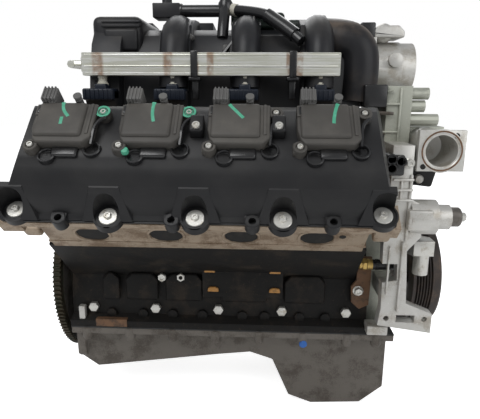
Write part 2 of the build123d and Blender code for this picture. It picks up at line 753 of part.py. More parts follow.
with BuildPart() as water_pump_pulley:
    wheel(pump_pulley_front - 34, pump_pulley_front, pump_pulley_radius, 32, pump_shaft / 2 + running_fit,
          z=pump_axis_z)
write(water_pump_pulley, "water_pump_pulley")

# Thermostat housing with its cover taken off, its mouth facing the right side
with BuildPart() as thermostat_housing:
    with BuildSketch(Plane.XZ.offset(-thermostat_face)):
        with Locations(thermostat_centre):
            Rectangle(70, 62)
    extrude(amount=-10)
    with BuildSketch(Plane.XZ.offset(-thermostat_face - 10)):
        with Locations(thermostat_centre):
            RegularPolygon(30, 20)
    extrude(amount=thermostat_face + 120)
    with BuildSketch(Plane.XZ.offset(-thermostat_face)):
        with Locations(thermostat_centre):
            Circle(thermostat_bore / 2)
    extrude(amount=-70, mode=Mode.SUBTRACT)
write(thermostat_housing, "thermostat_housing")

# Accessory bracket: foot with two holes and a window, arm notched round the sensor, and the idler's boss
with BuildPart() as accessory_bracket:
    with BuildSketch(Plane.XZ.offset(bracket_face)):
        with BuildLine():
            Polyline((548, -26), (636, -38), (636, -4), (592, 14), (590, 50), (586, 104), (606, 128), (606, 178),
                     (584, 190), (584, 272), (552, 272), (552, 150), (548, 124), (549, 82), (573, 82), (574, 54),
                     (551, 50), (552, 4), close=True)
        make_face()
        with Locations(*[(x, bracket_hole_z) for x in bracket_hole_x]):
            Circle(bracket_hole / 2, mode=Mode.SUBTRACT)
        with Locations((593, bracket_hole_z)):
            Rectangle(30, 13, mode=Mode.SUBTRACT)
    extrude(amount=-20)
    # lugs to the timing cover's side, to the pump's casting, and to the front end of the right head
    with BuildSketch(Plane.XZ.offset(bracket_face - 20)):
        with Locations((572, 20)):
            Rectangle(28, 28)
    extrude(amount=timing_half + 20 - bracket_face)
    with BuildSketch(Plane.XZ.offset(bracket_face - 20)):
        with Locations((568, 262)):
            Rectangle(32, 20)
    extrude(amount=pump_casting_half + 20 - bracket_face)
    slab(head_rear + head_length, 574, [(-bracket_face, 148), (-182, 148), (-182, 178), (-bracket_face, 178)])
    wheel(586, 628, 28, hidden_sides, y=idler_axis[0], z=idler_axis[1])
    wheel(628, idler_rear - seat_gap, 20, hidden_sides, y=idler_axis[0], z=idler_axis[1])
write(accessory_bracket, "accessory_bracket")
with BuildPart() as idler_hub:
    wheel(idler_rear, idler_rear + 17, 15.5, hidden_sides, y=idler_axis[0], z=idler_axis[1])
    wheel(idler_rear + 17, idler_rear + 27, 8, 6, y=idler_axis[0], z=idler_axis[1])
write(idler_hub, "idler_hub")

# Intake manifold: a moulded plenum over the valley with a runner down to every port
foot_half, shoulder_half, crown_half = 128.0, 150.0, 70.0
runner_foot = [bank_to_row(intake_face[0][0] * (1 - t) + intake_face[1][0] * t,
                           intake_face[0][1] * (1 - t) + intake_face[1][1] * t) for t in (0.15, 0.85)]
with BuildPart() as intake_manifold:
    slab(plenum_x[0], plenum_x[1], both_sides([(-foot_half, 262), (-shoulder_half + 26, 310), (-shoulder_half + 30, 400),
                                               (-96, 440), (-crown_half, 452)]))
    slab(plenum_x[0] + 12, plenum_x[1] - 12, both_sides([(-66, 262), (-80, 400), (-50, 430)]), mode=Mode.SUBTRACT)
    # runners stand proud of the plenum over each port
    for side in (RIGHT, LEFT):
        for x in near_bores:
            middle = x + bank_shift(side)
            runner = [*runner_foot, (-shoulder_half, 296), (-176, 341), (-176, injector_foot),
                      (-shoulder_half, injector_foot), (-shoulder_half + 4, 372), (-shoulder_half + 22, 424),
                      (-102, 456), (-crown_half + 10, 470), (-6, 474), (-6, 440), (-foot_half + 20, 262)]
            slab(middle - 24, middle + 24, [(-side * y, z) for y, z in runner])
    # throttle neck and its flange
    with BuildSketch(Plane.YZ.offset(plenum_x[1])):
        with Locations((0, throttle_axis_z)):
            RegularPolygon(throttle_outer / 2 + 6, 20)
    extrude(amount=throttle_flange_x - plenum_x[1])
    with BuildSketch(Plane.YZ.offset(plenum_x[1] - 14)):
        with Locations((0, throttle_axis_z)):
            RegularPolygon(throttle_bore / 2, 20)
    extrude(amount=throttle_flange_x - plenum_x[1] + 14, mode=Mode.SUBTRACT)
write(intake_manifold, "intake_manifold")

# Throttle body with its plate on a shaft across the bore, and the actuator above it
with BuildPart() as throttle_body:
    wheel(throttle_flange_x, throttle_collar_x, throttle_outer / 2, piston_sides, z=throttle_axis_z)
    bar(throttle_collar_x, throttle_front, throttle_collar / 2, z=throttle_axis_z)
    slab(throttle_flange_x, throttle_flange_x + 8, both_sides([(-50, throttle_axis_z - 50),
                                                               (-50, throttle_axis_z + 50)]))
    with BuildSketch(Plane.XZ.offset(throttle_outer / 2 - 4)):
        with Locations((throttle_shaft_x, throttle_axis_z + 12)):
            RegularPolygon(13, 10)
    extrude(amount=10)
    with BuildSketch(Plane.YZ.offset(throttle_flange_x)):
        with Locations((0, throttle_axis_z)):
            RegularPolygon(throttle_bore / 2, piston_sides, major_radius=False)
    extrude(amount=throttle_front - throttle_flange_x, mode=Mode.SUBTRACT)
write(throttle_body, "throttle_body")
with BuildPart() as throttle_plate:
    with BuildSketch(Plane.YZ.offset(throttle_shaft_x - 1.25)):
        with Locations((0, throttle_axis_z)):
            RegularPolygon(throttle_bore / 2 - seat_gap, 32)
    extrude(amount=2.5)
    with BuildSketch(Plane.XZ.offset(throttle_bore / 2 - 4)):
        with Locations((throttle_shaft_x, throttle_axis_z)):
            RegularPolygon(4, 8)
    extrude(amount=8 - throttle_bore)
write(throttle_plate, "throttle_plate")
throttle_top = throttle_axis_z + 50
with BuildPart() as throttle_actuator:
    with BuildSketch(Plane.XZ.offset(44)):
        with BuildLine():
            Polyline((545, throttle_top), (545, 456), (552, 463), (588, 463), (598, 453), (598, throttle_top),
                     close=True)
        make_face()
    extrude(amount=-70)
    with BuildSketch(Plane.XZ.offset(44)):
        with Locations((534, 457)):
            Rectangle(22, 17)
    extrude(amount=-26)
write(throttle_actuator, "throttle_actuator")

# Fuel rails over the injectors, joined by a crossover pipe behind the manifold
with BuildPart() as fuel_rail_near:
    with BuildSketch(Plane.YZ.offset(rail_x[0])):
        with Locations(rail_centre):
            Rectangle(*rail_section)
    extrude(amount=rail_x[1] - rail_x[0])
with BuildPart() as fuel_rail:
    add(fuel_rail_near.part)
    add(far_copy(fuel_rail_near).part)
    crossover_x = rail_x[0] - 20
    rod((crossover_x, rail_centre[0] - 6, rail_centre[1]), (crossover_x, 6 - rail_centre[0], rail_centre[1]), 6, 8)
    wheel(crossover_x, rail_x[0], 6, 8, y=rail_centre[0], z=rail_centre[1])
    wheel(crossover_x, rail_x[0] + bank_stagger, 6, 8, y=-rail_centre[0], z=rail_centre[1])
write(fuel_rail, "fuel_rail")

# Fuel injectors: each from its rail down to the shelf of its runner
with BuildPart() as fuel_injectors:
    rail_foot = rail_centre[1] - rail_section[1] / 2
    for foot, top, radius in ((injector_foot, 362, 9), (362, rail_foot, 6.5)):
        with BuildSketch(Plane.XY.offset(foot)):
            for side in (RIGHT, LEFT):
                with Locations(*[(x + bank_shift(side), side * -rail_centre[0]) for x in injector_x]):
                    RegularPolygon(radius, 8)
        extrude(amount=top - foot)
write(fuel_injectors, "fuel_injectors")

# Breather line on top of the manifold: purge valve, hard pipe, tee, collar and hose to the front runner
line_y = -70.0
with BuildPart() as purge_valve:
    with BuildSketch(Plane.XY.offset(472.4)):
        with Locations((186, -50)):
            Rectangle(47, 44)
    extrude(amount=23.6)
    with BuildSketch(Plane.XY.offset(496)):
        with Locations((184, -50)):
            RegularPolygon(9, 8)
    extrude(amount=9)
write(purge_valve, "purge_valve")
with BuildPart() as breather_pipe:
    wheel(209.5, 276, 7, 8, y=line_y + 10, z=488)
    with BuildSketch(Plane.XY.offset(480)):
        with Locations((286, line_y + 6)):
            RegularPolygon(12, 10)
    extrude(amount=20)
    rod((294.9, -61.3, 486.1), (308, line_y, 483), 9, 8)
write(breather_pipe, "breather_pipe")
with BuildPart() as breather_hose:
    rod((308.4, line_y - 0.3, 482.9), (362, -106, 470), 9, 10)
    rod((358, -103, 473), (412, -141, 427), 9, 10)
write(breather_hose, "breather_hose")

# Oil filler cap on the left cover, oil filter, knock sensor and small plugs
cap_x, cap_across, cap_up = 500.0, 66.0, cover_top
with BuildPart() as oil_filler_cap:
    for lift, radius, sides in ((seat_gap, 15, hidden_sides), (8, 20, 12)):
        with BuildSketch(bank_deck(LEFT, cap_up + lift)):
            with Locations((cap_x, -cap_across)):
                RegularPolygon(radius, sides)
        extrude(amount=8)
write(oil_filler_cap, "oil_filler_cap")
with BuildPart() as oil_filter:
    with BuildSketch(Plane.XZ.offset(-skirt_half - mount_pad_rise)):
        with Locations((filter_x, 0)):
            RegularPolygon(filter_radius, 20)
    extrude(amount=-filter_length)
write(oil_filter, "oil_filter")
with BuildPart() as knock_sensor:
    wheel(near_bores[-1] + block_end_margin, 549, 9, 6, y=-165, z=68)
    wheel(549, 584, 8, 10, y=-165, z=68)
write(knock_sensor, "knock_sensor")
with BuildPart() as sensor_bracket:
    with BuildSketch(Plane.XZ.offset(skirt_half)):
        with BuildLine():
            Polyline((521, 75), (545, 75), (545, 20), (544, -14), (528, -22), (514, -10), (512, 20), (521, 32),
                     close=True)
        make_face()
    extrude(amount=6)
write(sensor_bracket, "sensor_bracket")
with BuildPart() as heater_nipple:
    with BuildSketch(Plane.XY.offset(80)):
        with BuildLine():
            Polyline((timing_front, -84), (timing_front, -110), (612, -154), (646, -154), (646, -126), (625, -112),
                     (612, -84), close=True)
        make_face()
    extrude(amount=26)
    with BuildSketch(Plane.XY.offset(44)):
        with Locations((630, -140)):
            RegularPolygon(13, 12)
            RegularPolygon(10, 12, mode=Mode.SUBTRACT)
    extrude(amount=36)
write(heater_nipple, "heater_nipple")
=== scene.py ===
"""Looks of a complete vee engine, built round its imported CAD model."""
import json
import math

import bpy
from mathutils import Matrix, Vector

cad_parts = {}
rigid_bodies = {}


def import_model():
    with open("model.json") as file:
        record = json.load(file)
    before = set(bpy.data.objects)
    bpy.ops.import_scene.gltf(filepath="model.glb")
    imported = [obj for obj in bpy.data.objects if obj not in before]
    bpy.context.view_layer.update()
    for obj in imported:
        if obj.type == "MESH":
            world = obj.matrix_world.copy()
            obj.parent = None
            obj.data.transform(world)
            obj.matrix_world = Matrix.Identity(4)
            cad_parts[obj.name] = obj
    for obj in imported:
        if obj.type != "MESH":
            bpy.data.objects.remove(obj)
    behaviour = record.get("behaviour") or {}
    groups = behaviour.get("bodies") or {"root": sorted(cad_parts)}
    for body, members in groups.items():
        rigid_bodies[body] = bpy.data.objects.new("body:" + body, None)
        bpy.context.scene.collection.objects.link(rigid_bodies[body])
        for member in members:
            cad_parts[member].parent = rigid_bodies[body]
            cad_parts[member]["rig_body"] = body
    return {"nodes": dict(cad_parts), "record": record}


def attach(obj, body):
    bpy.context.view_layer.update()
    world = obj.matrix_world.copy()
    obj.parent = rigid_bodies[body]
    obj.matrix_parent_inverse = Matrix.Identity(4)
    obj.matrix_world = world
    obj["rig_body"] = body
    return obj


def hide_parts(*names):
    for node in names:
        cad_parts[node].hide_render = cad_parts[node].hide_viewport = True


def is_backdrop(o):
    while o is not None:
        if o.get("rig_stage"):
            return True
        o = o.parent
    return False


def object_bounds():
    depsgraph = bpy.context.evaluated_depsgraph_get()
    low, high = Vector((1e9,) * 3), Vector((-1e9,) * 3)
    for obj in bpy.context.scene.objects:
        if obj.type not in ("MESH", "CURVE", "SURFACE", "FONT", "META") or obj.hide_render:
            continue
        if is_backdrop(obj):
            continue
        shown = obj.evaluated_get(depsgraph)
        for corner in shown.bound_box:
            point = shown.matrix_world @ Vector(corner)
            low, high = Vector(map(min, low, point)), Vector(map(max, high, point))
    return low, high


bl_info = {
    "name": "Vee engine",
    "version": (1, 0, 0),
    "blender": (4, 5, 0),
    "location": "View3D > Sidebar > Engine",
    "description": "Builds the visible pieces of a complete vee engine round its CAD frame",
    "category": "Add Mesh",
}

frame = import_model()
cad_box = [list(corner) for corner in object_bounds()]

MM = 0.001
ROOT = math.sqrt(0.5)

# The engine's own measures, in millimetres
STAGGER = 24.0
PITCH = 113.3
BORES = [97.0 + PITCH * i for i in range(4)]
COVER_SEAT = 375.4  # where the bolts of the valve covers sit, up the bores
COIL_IN = 4 * ROOT  # what the coils are moved inwards by, along y and along z
COIL_TOP = 450.9  # of the coils' lids, up the bores
WASHER = 2.0
TEETH = 120
PORT_UP = 273  # middle of the exhaust ports, up the bores
PORT_HALF = (25, 19)

# Centres of round pieces on the front and on the right side, as (right, up) of the place they are drawn in
PUMP = (0, 226)
IDLER = (-185, 158)
SENSOR = (-165, 68)
THERMOSTAT = (624, 264)

# The camera that was solved from the photograph, in metres, degrees and millimetres
EYE = Vector((0.3536, -0.9293, 0.3486))
PITCH_YAW_ROLL = (13.86, 2.68, 0.25)
LENS = 35.56
MIDDLE = Vector((0.3, 0, 0.15))  # of the engine, where the lamps are aimed

# Places where pieces are drawn flat. Each takes (right, up, out) in millimetres to the row frame.
BANK = Matrix(((1, 0, 0, 0), (0, ROOT, -ROOT, 0), (0, ROOT, ROOT, 0), (0, 0, 0, 1)))
FLANK = Matrix(((1, 0, 0, 0), (0, 0, 0, 0), (0, 0, 0, 0), (0, 0, 0, 1)))
FLANK[1][1], FLANK[2][1], FLANK[1][2], FLANK[2][2] = -ROOT, ROOT, -ROOT, -ROOT
SIDE = Matrix(((1, 0, 0, 0), (0, 0, -1, 0), (0, 1, 0, 0), (0, 0, 0, 1)))
FRONT = Matrix(((0, 0, 1, 0), (1, 0, 0, 0), (0, 1, 0, 0), (0, 0, 0, 1)))
LEVEL = Matrix.Identity(4)
# across the right bank: right is inwards over the bank, up is up its bores, out is forward
SECTION = BANK @ Matrix(((0, 0, 1, 0), (1, 0, 0, 0), (0, 1, 0, 0), (0, 0, 0, 1)))
# the left bank is the right one mirrored and moved forward by the stagger
TWIN = Matrix.Translation((STAGGER * MM, 0, 0)) @ Matrix.Scale(-1, 4, (0, 1, 0))


# Shaders

FINISHES = {}


class Tone:
    """A shader socket that takes part in arithmetic."""

    def __init__(self, tree, socket):
        self.tree = tree
        self.socket = socket

    def _work(self, operation, first, second):
        node = self.tree.nodes.new("ShaderNodeMath")
        node.operation = operation
        for place, term in zip(node.inputs, (first, second)):
            if isinstance(term, Tone):
                self.tree.links.new(term.socket, place)
            else:
                place.default_value = term
        return Tone(self.tree, node.outputs[0])

    def __add__(self, other):
        return self._work("ADD", self, other)

    def __sub__(self, other):
        return self._work("SUBTRACT", self, other)

    def __mul__(self, other):
        return self._work("MULTIPLY", self, other)

    def __abs__(self):
        return self._work("ABSOLUTE", self, 0.0)


class Finish:
    """One material: its node tree, its shader, and the masks that its colour is mixed from."""

    def __init__(self, name):
        self.material = FINISHES[name] = bpy.data.materials.new(name)
        self.material.use_nodes = True
        self.tree = self.material.node_tree
        self.tree.nodes.clear()
        self.shader = self.node("ShaderNodeBsdfPrincipled")
        self.output = self.node("ShaderNodeOutputMaterial")
        self.tree.links.new(self.shader.outputs[0], self.output.inputs[0])
        self.where = self.node("ShaderNodeTexCoord").outputs["Object"]

    def node(self, kind, **values):
        """Any node. Names in capitals are its sockets, spaces written as _, and the others its settings."""
        made = self.tree.nodes.new(kind)
        for key, value in values.items():
            if key[0].isupper():
                self.feed(made.inputs[key.replace("_", " ")], value)
            else:
                setattr(made, key, value)
        return made

    def feed(self, place, value):
        """Link or set a socket. A colour may leave its alpha out."""
        if isinstance(value, Tone):
            value = value.socket
        if isinstance(value, bpy.types.NodeSocket):
            self.tree.links.new(value, place)
        elif place.type == "RGBA" and len(value) == 3:
            place.default_value = (*value, 1.0)
        else:
            place.default_value = value

    def cloud(self, scale, detail=5.0, rough=0.55, stretch=(1, 1, 1)):
        """Noise in the piece's own space, scale in lumps per metre."""
        spread = self.node("ShaderNodeMapping", Vector=self.where, Scale=stretch)
        noise = self.node("ShaderNodeTexNoise", Vector=spread.outputs[0], Scale=scale, Detail=detail,
                          Roughness=rough)
        return Tone(self.tree, noise.outputs["Fac"])

    def axis(self, which):
        """One coordinate of the piece's own space, in metres."""
        split = self.node("ShaderNodeSeparateXYZ", Vector=self.where)
        return Tone(self.tree, split.outputs[which])

    def facing(self, which):
        """How far the surface faces along an axis, from -1 to 1."""
        normal = self.node("ShaderNodeTexCoord").outputs["Normal"]
        split = self.node("ShaderNodeSeparateXYZ", Vector=normal)
        return Tone(self.tree, split.outputs[which])

    def window(self, tone, low, high):
        """0 below low and 1 above high, or the other way round when low is above high."""
        made = self.node("ShaderNodeMapRange", interpolation_type="SMOOTHSTEP", Value=tone, From_Min=low,
                         From_Max=high)
        return Tone(self.tree, made.outputs[0])

    def mix(self, first, second, share):
        """Colour going from first to second."""
        made = self.node("ShaderNodeMix", data_type="RGBA")
        for place, value in ((made.inputs[0], share), (made.inputs[6], first), (made.inputs[7], second)):
            self.feed(place, value)
        return Tone(self.tree, made.outputs[2])

    def bump(self, height, depth):
        """Relief of the given depth in millimetres."""
        made = self.node("ShaderNodeBump", Height=height, Distance=depth * MM, Strength=0.6)
        self.feed(self.shader.inputs["Normal"], made.outputs[0])

    def set(self, **values):
        """Values or links of the shader's own sockets."""
        for key, value in values.items():
            self.feed(self.shader.inputs[key.replace("_", " ")], value)


def grown(name, base, stain, patch, scale=22.0, grain=900.0, relief=0.12, rough=(0.45, 0.65), metal=0.0,
          fleck=None, sheen=0.5):
    """A worn finish: two colours in soft patches, a fine grain, and flecks of a third colour if there is one."""
    it = Finish(name)
    broad = it.cloud(scale, 6.0, 0.62)
    fine = it.cloud(grain, 3.0, 0.6)
    mask = it.window(broad * 0.75 + fine * 0.25, 0.62 - 0.3 * patch, 0.78 - 0.3 * patch)
    colour = it.mix(base, stain, mask)
    if fleck:
        spots = it.window(it.cloud(scale * 9, 4.0, 0.7), 0.60, 0.70)
        colour = it.mix(colour, fleck, spots * 0.6)
    it.bump(fine * 0.7 + it.cloud(grain * 0.27, 2.0) * 0.3, relief)
    roughness = broad * (rough[1] - rough[0]) + rough[0]
    it.set(Base_Color=colour, Roughness=roughness, Metallic=metal, Specular_IOR_Level=sheen)


def rail_finish():
    """Pale plated rail with brown bands burnt across it and faint lines along it."""
    it = Finish("rail_steel")
    along = it.axis(0)
    bands = None
    for middle, half in ((0.0975, 0.011), (0.207, 0.010), (0.250, 0.006), (0.272, 0.007), (0.392, 0.006),
                         (0.408, 0.007)):
        band = it.window(abs(along - middle), half, half * 0.45)
        bands = band if bands is None else bands + band
    blotch = it.cloud(60, 6.0, 0.65)
    streak = it.cloud(90, 4.0, 0.6, (0.12, 1, 3))
    colour = it.mix((0.60, 0.60, 0.52), (0.74, 0.74, 0.70), it.window(streak, 0.42, 0.6))
    colour = it.mix(colour, (0.30, 0.17, 0.10), bands * it.window(blotch, 0.30, 0.62) * 0.85)
    colour = it.mix(colour, (0.50, 0.49, 0.37), it.window(blotch, 0.56, 0.75) * 0.5)
    it.bump(it.cloud(120, 3.0, 0.5, (0.3, 1, 1)) * 0.8 + it.cloud(1400, 2.0) * 0.2, 0.5)
    it.set(Base_Color=colour, Roughness=blotch * 0.2 + 0.22, Metallic=0.55)


def dusty(name, base, dust, share, rough=(0.38, 0.55), relief=0.06, grain=1600.0, sheen=0.3):
    """Moulded plastic with dust lying on what faces up."""
    it = Finish(name)
    broad = it.cloud(14, 6.0, 0.6)
    fine = it.cloud(grain, 3.0)
    lying = it.window(it.facing(2), 0.1, 0.95)
    mask = it.window(broad, 0.40, 0.72) * (lying * 0.7 + 0.3) * share
    colour = it.mix(base, dust, mask)
    scuffs = it.window(it.cloud(70, 7.0, 0.75, (0.25, 1, 1)), 0.64, 0.72)
    colour = it.mix(colour, dust, scuffs * 0.25)
    it.bump(fine, relief)
    roughness = broad * (rough[1] - rough[0]) + rough[0]
    it.set(Base_Color=colour, Roughness=roughness, Specular_IOR_Level=sheen)


def mix_finishes(colours):
    """All the finishes: one for each material slot of the record, and some that only paint small pieces."""
    grown("block_iron", (0.009, 0.0085, 0.008), (0.028, 0.022, 0.017), 0.42, 26, 700, 0.35, (0.42, 0.7), 0.1,
          (0.06, 0.042, 0.028), 0.2)
    grown("head_aluminium", (0.36, 0.285, 0.21), (0.20, 0.14, 0.09), 0.55, 30, 520, 0.4, (0.45, 0.65), 0.35,
          (0.52, 0.46, 0.38))
    grown("cast_aluminium", (0.42, 0.43, 0.37), (0.30, 0.31, 0.26), 0.5, 24, 620, 0.3, (0.35, 0.55), 0.45,
          (0.60, 0.60, 0.55))
    grown("machined_aluminium", (0.56, 0.55, 0.52), (0.40, 0.37, 0.32), 0.45, 34, 560, 0.22, (0.28, 0.5), 0.55,
          (0.72, 0.71, 0.68))
    grown("pan_aluminium", (0.15, 0.135, 0.118), (0.085, 0.072, 0.060), 0.55, 22, 480, 0.5, (0.5, 0.75), 0.3,
          (0.17, 0.15, 0.125))
    grown("forged_steel", (0.17, 0.155, 0.14), (0.09, 0.075, 0.06), 0.5, 40, 900, 0.1, (0.3, 0.5), 0.8)
    grown("bright_steel", (0.66, 0.65, 0.61), (0.42, 0.38, 0.31), 0.35, 90, 1500, 0.08, (0.22, 0.42), 0.75,
          (0.30, 0.22, 0.15))
    grown("ring_steel", (0.045, 0.036, 0.022), (0.03, 0.036, 0.022), 0.5, 45, 800, 0.15, (0.35, 0.55), 0.6,
          (0.24, 0.17, 0.10))
    grown("damper_iron", (0.045, 0.037, 0.033), (0.11, 0.075, 0.055), 0.45, 30, 700, 0.25, (0.4, 0.6), 0.3,
          (0.15, 0.09, 0.06))
    grown("rusty_steel", (0.16, 0.085, 0.045), (0.06, 0.04, 0.028), 0.5, 70, 900, 0.3, (0.55, 0.8), 0.2,
          (0.30, 0.20, 0.12))
    grown("brass_plate", (0.50, 0.38, 0.18), (0.30, 0.22, 0.11), 0.5, 60, 1200, 0.05, (0.25, 0.4), 0.85)
    grown("sensor_brass", (0.58, 0.40, 0.13), (0.28, 0.18, 0.07), 0.45, 120, 1400, 0.08, (0.25, 0.45), 0.8)
    dusty("cover_plastic", tuple(colours.cover), (0.050, 0.048, 0.046), 0.55, (0.34, 0.52), 0.10)
    dusty("coil_plastic", tuple(colours.coil), (0.13, 0.12, 0.105), 0.6, (0.42, 0.6), 0.12, 1100)
    dusty("intake_plastic", (0.014, 0.0145, 0.017), (0.075, 0.068, 0.06), 0.55, (0.30, 0.5), 0.12, 900)
    dusty("hose_rubber", (0.010, 0.010, 0.011), (0.04, 0.038, 0.035), 0.3, (0.18, 0.3), 0.05, sheen=0.6)
    dusty("pulley_black", (0.012, 0.012, 0.012), (0.06, 0.055, 0.05), 0.5)
    grown("injector_plastic", (0.50, 0.48, 0.41), (0.30, 0.27, 0.21), 0.4, 90, 1500, 0.05)
    grown("gasket_rubber", (0.02, 0.02, 0.02), (0.05, 0.05, 0.048), 0.4)
    grown("gasket_steel", (0.16, 0.15, 0.14), (0.07, 0.06, 0.05), 0.5, 60, 1200, 0.05, (0.3, 0.5), 0.6)
    grown("filter_paint", (0.60, 0.58, 0.53), (0.38, 0.34, 0.28), 0.35, 24, 1200, 0.05, (0.3, 0.5))
    grown("piston_alloy", (0.55, 0.55, 0.54), (0.35, 0.34, 0.33), 0.4, 60, 1200, 0.05, (0.25, 0.45), 0.8)
    rail_finish()
    dusty("coil_grey", (0.11, 0.108, 0.105), (0.17, 0.165, 0.155), 0.5)
    dusty("gloss_black", (0.010, 0.010, 0.011), (0.05, 0.048, 0.045), 0.3, (0.16, 0.3), 0.04, sheen=0.6)
    dusty("blue_black", (0.010, 0.014, 0.024), (0.05, 0.05, 0.055), 0.35, (0.3, 0.45), 0.05)
    grown("green_paint", (0.06, 0.34, 0.21), (0.10, 0.42, 0.28), 0.5, 160, 1500, 0.05, (0.4, 0.55))
    grown("orange_plug", (0.42, 0.20, 0.045), (0.20, 0.11, 0.04), 0.45, 120, 1200, 0.08, (0.35, 0.5))
    grown("blue_plug", (0.02, 0.12, 0.42), (0.015, 0.06, 0.2), 0.4, 120, 1200, 0.05, (0.3, 0.45))
    dusty("green_black", (0.009, 0.016, 0.012), (0.045, 0.05, 0.045), 0.4, (0.3, 0.45), 0.08)
    dusty("dusty_elbow", (0.012, 0.012, 0.014), (0.19, 0.145, 0.11), 0.8, (0.3, 0.5), 0.12)
    # near black: soot in the exhaust ports, and painted shade where it fills holes
    grown("soot_and_painted_shade", (0.006, 0.0055, 0.005), (0.02, 0.017, 0.014), 0.4, 60, 900, 0.1, (0.7, 0.9))


# Modelling

def lift_selection():
    if bpy.context.object and bpy.context.object.mode != "OBJECT":
        bpy.ops.object.mode_set(mode="OBJECT")
    bpy.ops.object.select_all(action="DESELECT")


def alone(piece):
    """Select one piece and make it active."""
    lift_selection()
    piece.select_set(True)
    bpy.context.view_layer.objects.active = piece


def apply_all(piece):
    alone(piece)
    for modifier in list(piece.modifiers):
        bpy.ops.object.modifier_apply(modifier=modifier.name)


def soften(piece, width, segments=2, angle=32):
    """Round the edges that are sharper than angle."""
    if width:
        edge = piece.modifiers.new("edge", "BEVEL")
        edge.width = width * MM
        edge.segments = segments
        edge.limit_method = "ANGLE"
        edge.angle_limit = math.radians(angle)
        apply_all(piece)
    return piece


def edit_all():
    """Go into edit mode with everything selected."""
    bpy.ops.object.mode_set(mode="EDIT")
    bpy.ops.mesh.select_all(action="SELECT")


def turned_out(piece, place):
    """Turn every face outwards, leave edit mode and put the piece in its place."""
    bpy.ops.mesh.select_all(action="SELECT")
    bpy.ops.mesh.normals_make_consistent(inside=False)
    bpy.ops.object.mode_set(mode="OBJECT")
    piece.data.transform(place)
    return piece


def plate(points, low, high, place=LEVEL, bevel=0.0, segments=2):
    """A flat outline given thickness from low to high along its out direction."""
    lift_selection()
    bpy.ops.mesh.primitive_circle_add(vertices=len(points), radius=1, fill_type="NGON")
    piece = bpy.context.object
    for vertex, point in zip(piece.data.vertices, points):
        vertex.co = (point[0] * MM, point[1] * MM, low * MM)
    edit_all()
    bpy.ops.mesh.extrude_region_move(TRANSFORM_OT_translate={"value": (0, 0, (high - low) * MM)})
    return soften(turned_out(piece, place), bevel, segments)


def drum(profile, steps=24, place=LEVEL, centre=(0, 0)):
    """A turned piece: (radius, height) pairs from its foot to its top, closed at both ends."""
    lift_selection()
    radius, height = profile[0]
    bpy.ops.mesh.primitive_circle_add(vertices=steps, radius=radius * MM, fill_type="NGON",
                                      location=(centre[0] * MM, centre[1] * MM, height * MM))
    piece = bpy.context.object
    bpy.ops.object.transform_apply(location=True)
    edit_all()
    for next_radius, next_height in profile[1:]:
        bpy.ops.mesh.extrude_region_move(TRANSFORM_OT_translate={"value": (0, 0, (next_height - height) * MM)})
        share = next_radius / radius
        bpy.ops.transform.resize(value=(share, share, 1),
                                 center_override=(centre[0] * MM, centre[1] * MM, next_height * MM))
        radius, height = next_radius, next_height
    return turned_out(piece, place)


def peg(radius, low, high, steps, place, centre=(0, 0)):
    """A plain round piece."""
    return drum([(radius, low), (radius, high)], steps, place, centre)


def slab(low, high, place=LEVEL, bevel=1.0, segments=2):
    """A rectangular piece between two corners, with rounded edges."""
    (a, b, c), (d, e, f) = low, high
    return plate([(a, b), (d, b), (d, e), (a, e)], c, f, place, bevel, segments)


def slabs(place, *rows):
    """Slabs at one place. Each row is two corners, a bevel and perhaps its segments."""
    return [slab(row[:3], row[3:6], place, *row[6:]) for row in rows]


def band(points, radius, place=LEVEL, sides=8):
    """A round strip along a few points."""
    lift_selection()
    bpy.ops.curve.primitive_nurbs_path_add()
    piece = bpy.context.object
    line = piece.data
    line.splines.clear()
    spline = line.splines.new("NURBS")
    spline.points.add(len(points) - 1)
    for knot, point in zip(spline.points, points):
        knot.co = (point[0] * MM, point[1] * MM, point[2] * MM, 1)
    spline.order_u = 3
    spline.use_endpoint_u = True
    spline.resolution_u = 6
    line.dimensions = "3D"
    line.bevel_depth = radius * MM
    line.bevel_resolution = max(1, sides // 4 - 1)
    line.use_fill_caps = True
    alone(piece)
    bpy.ops.object.convert(target="MESH")
    piece = bpy.context.object
    piece.data.transform(place)
    return piece


def combine(piece, other, operation):
    """Boolean of two pieces. The other one is used up."""
    cut = piece.modifiers.new("cut", "BOOLEAN")
    cut.operation = operation
    cut.solver = "EXACT"
    cut.object = other
    apply_all(piece)
    bpy.data.objects.remove(other)
    return piece


def carve(piece, *cutters):
    for cutter in cutters:
        combine(piece, cutter, "DIFFERENCE")
    return piece


def weld(piece, *others):
    for other in others:
        combine(piece, other, "UNION")
    return piece


def joined(parts):
    """Several loose parts as one piece."""
    lift_selection()
    for part in parts:
        part.select_set(True)
    bpy.context.view_layer.objects.active = parts[0]
    if len(parts) > 1:
        bpy.ops.object.join()
    return bpy.context.object


def copied(piece, *places):
    """Copies of the piece, each moved by a place of its own."""
    made = []
    for place in places:
        other = piece.copy()
        other.data = piece.data.copy()
        bpy.context.scene.collection.objects.link(other)
        other.data.transform(place)
        made.append(other)
    return made


def shifted(x=0.0, y=0.0, z=0.0):
    return Matrix.Translation((x * MM, y * MM, z * MM))


def mirrored(piece):
    """The left bank's counterpart of a right bank piece."""
    other, = copied(piece, TWIN)
    alone(other)
    edit_all()
    bpy.ops.mesh.flip_normals()
    bpy.ops.object.mode_set(mode="OBJECT")
    return other


def each_bore(piece):
    """One piece for all the bores of a bank, made from the first bore's."""
    return joined([piece, *copied(piece, *[shifted(PITCH * i) for i in (1, 2, 3)])])


def settle(piece, name, slot, body="engine", stands_for=(), smooth=38, finish=None):
    """Name, paint and shade a finished piece, and let it ride on its body."""
    alone(piece)
    bpy.ops.object.transform_apply(location=True, rotation=True, scale=True)
    piece.name = name
    piece.data.name = name
    piece.data.materials.clear()
    piece.data.materials.append(FINISHES[finish or slot])
    bpy.ops.object.shade_smooth_by_angle(angle=math.radians(smooth))
    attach(piece, body)
    if stands_for:
        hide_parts(*stands_for)
    return piece


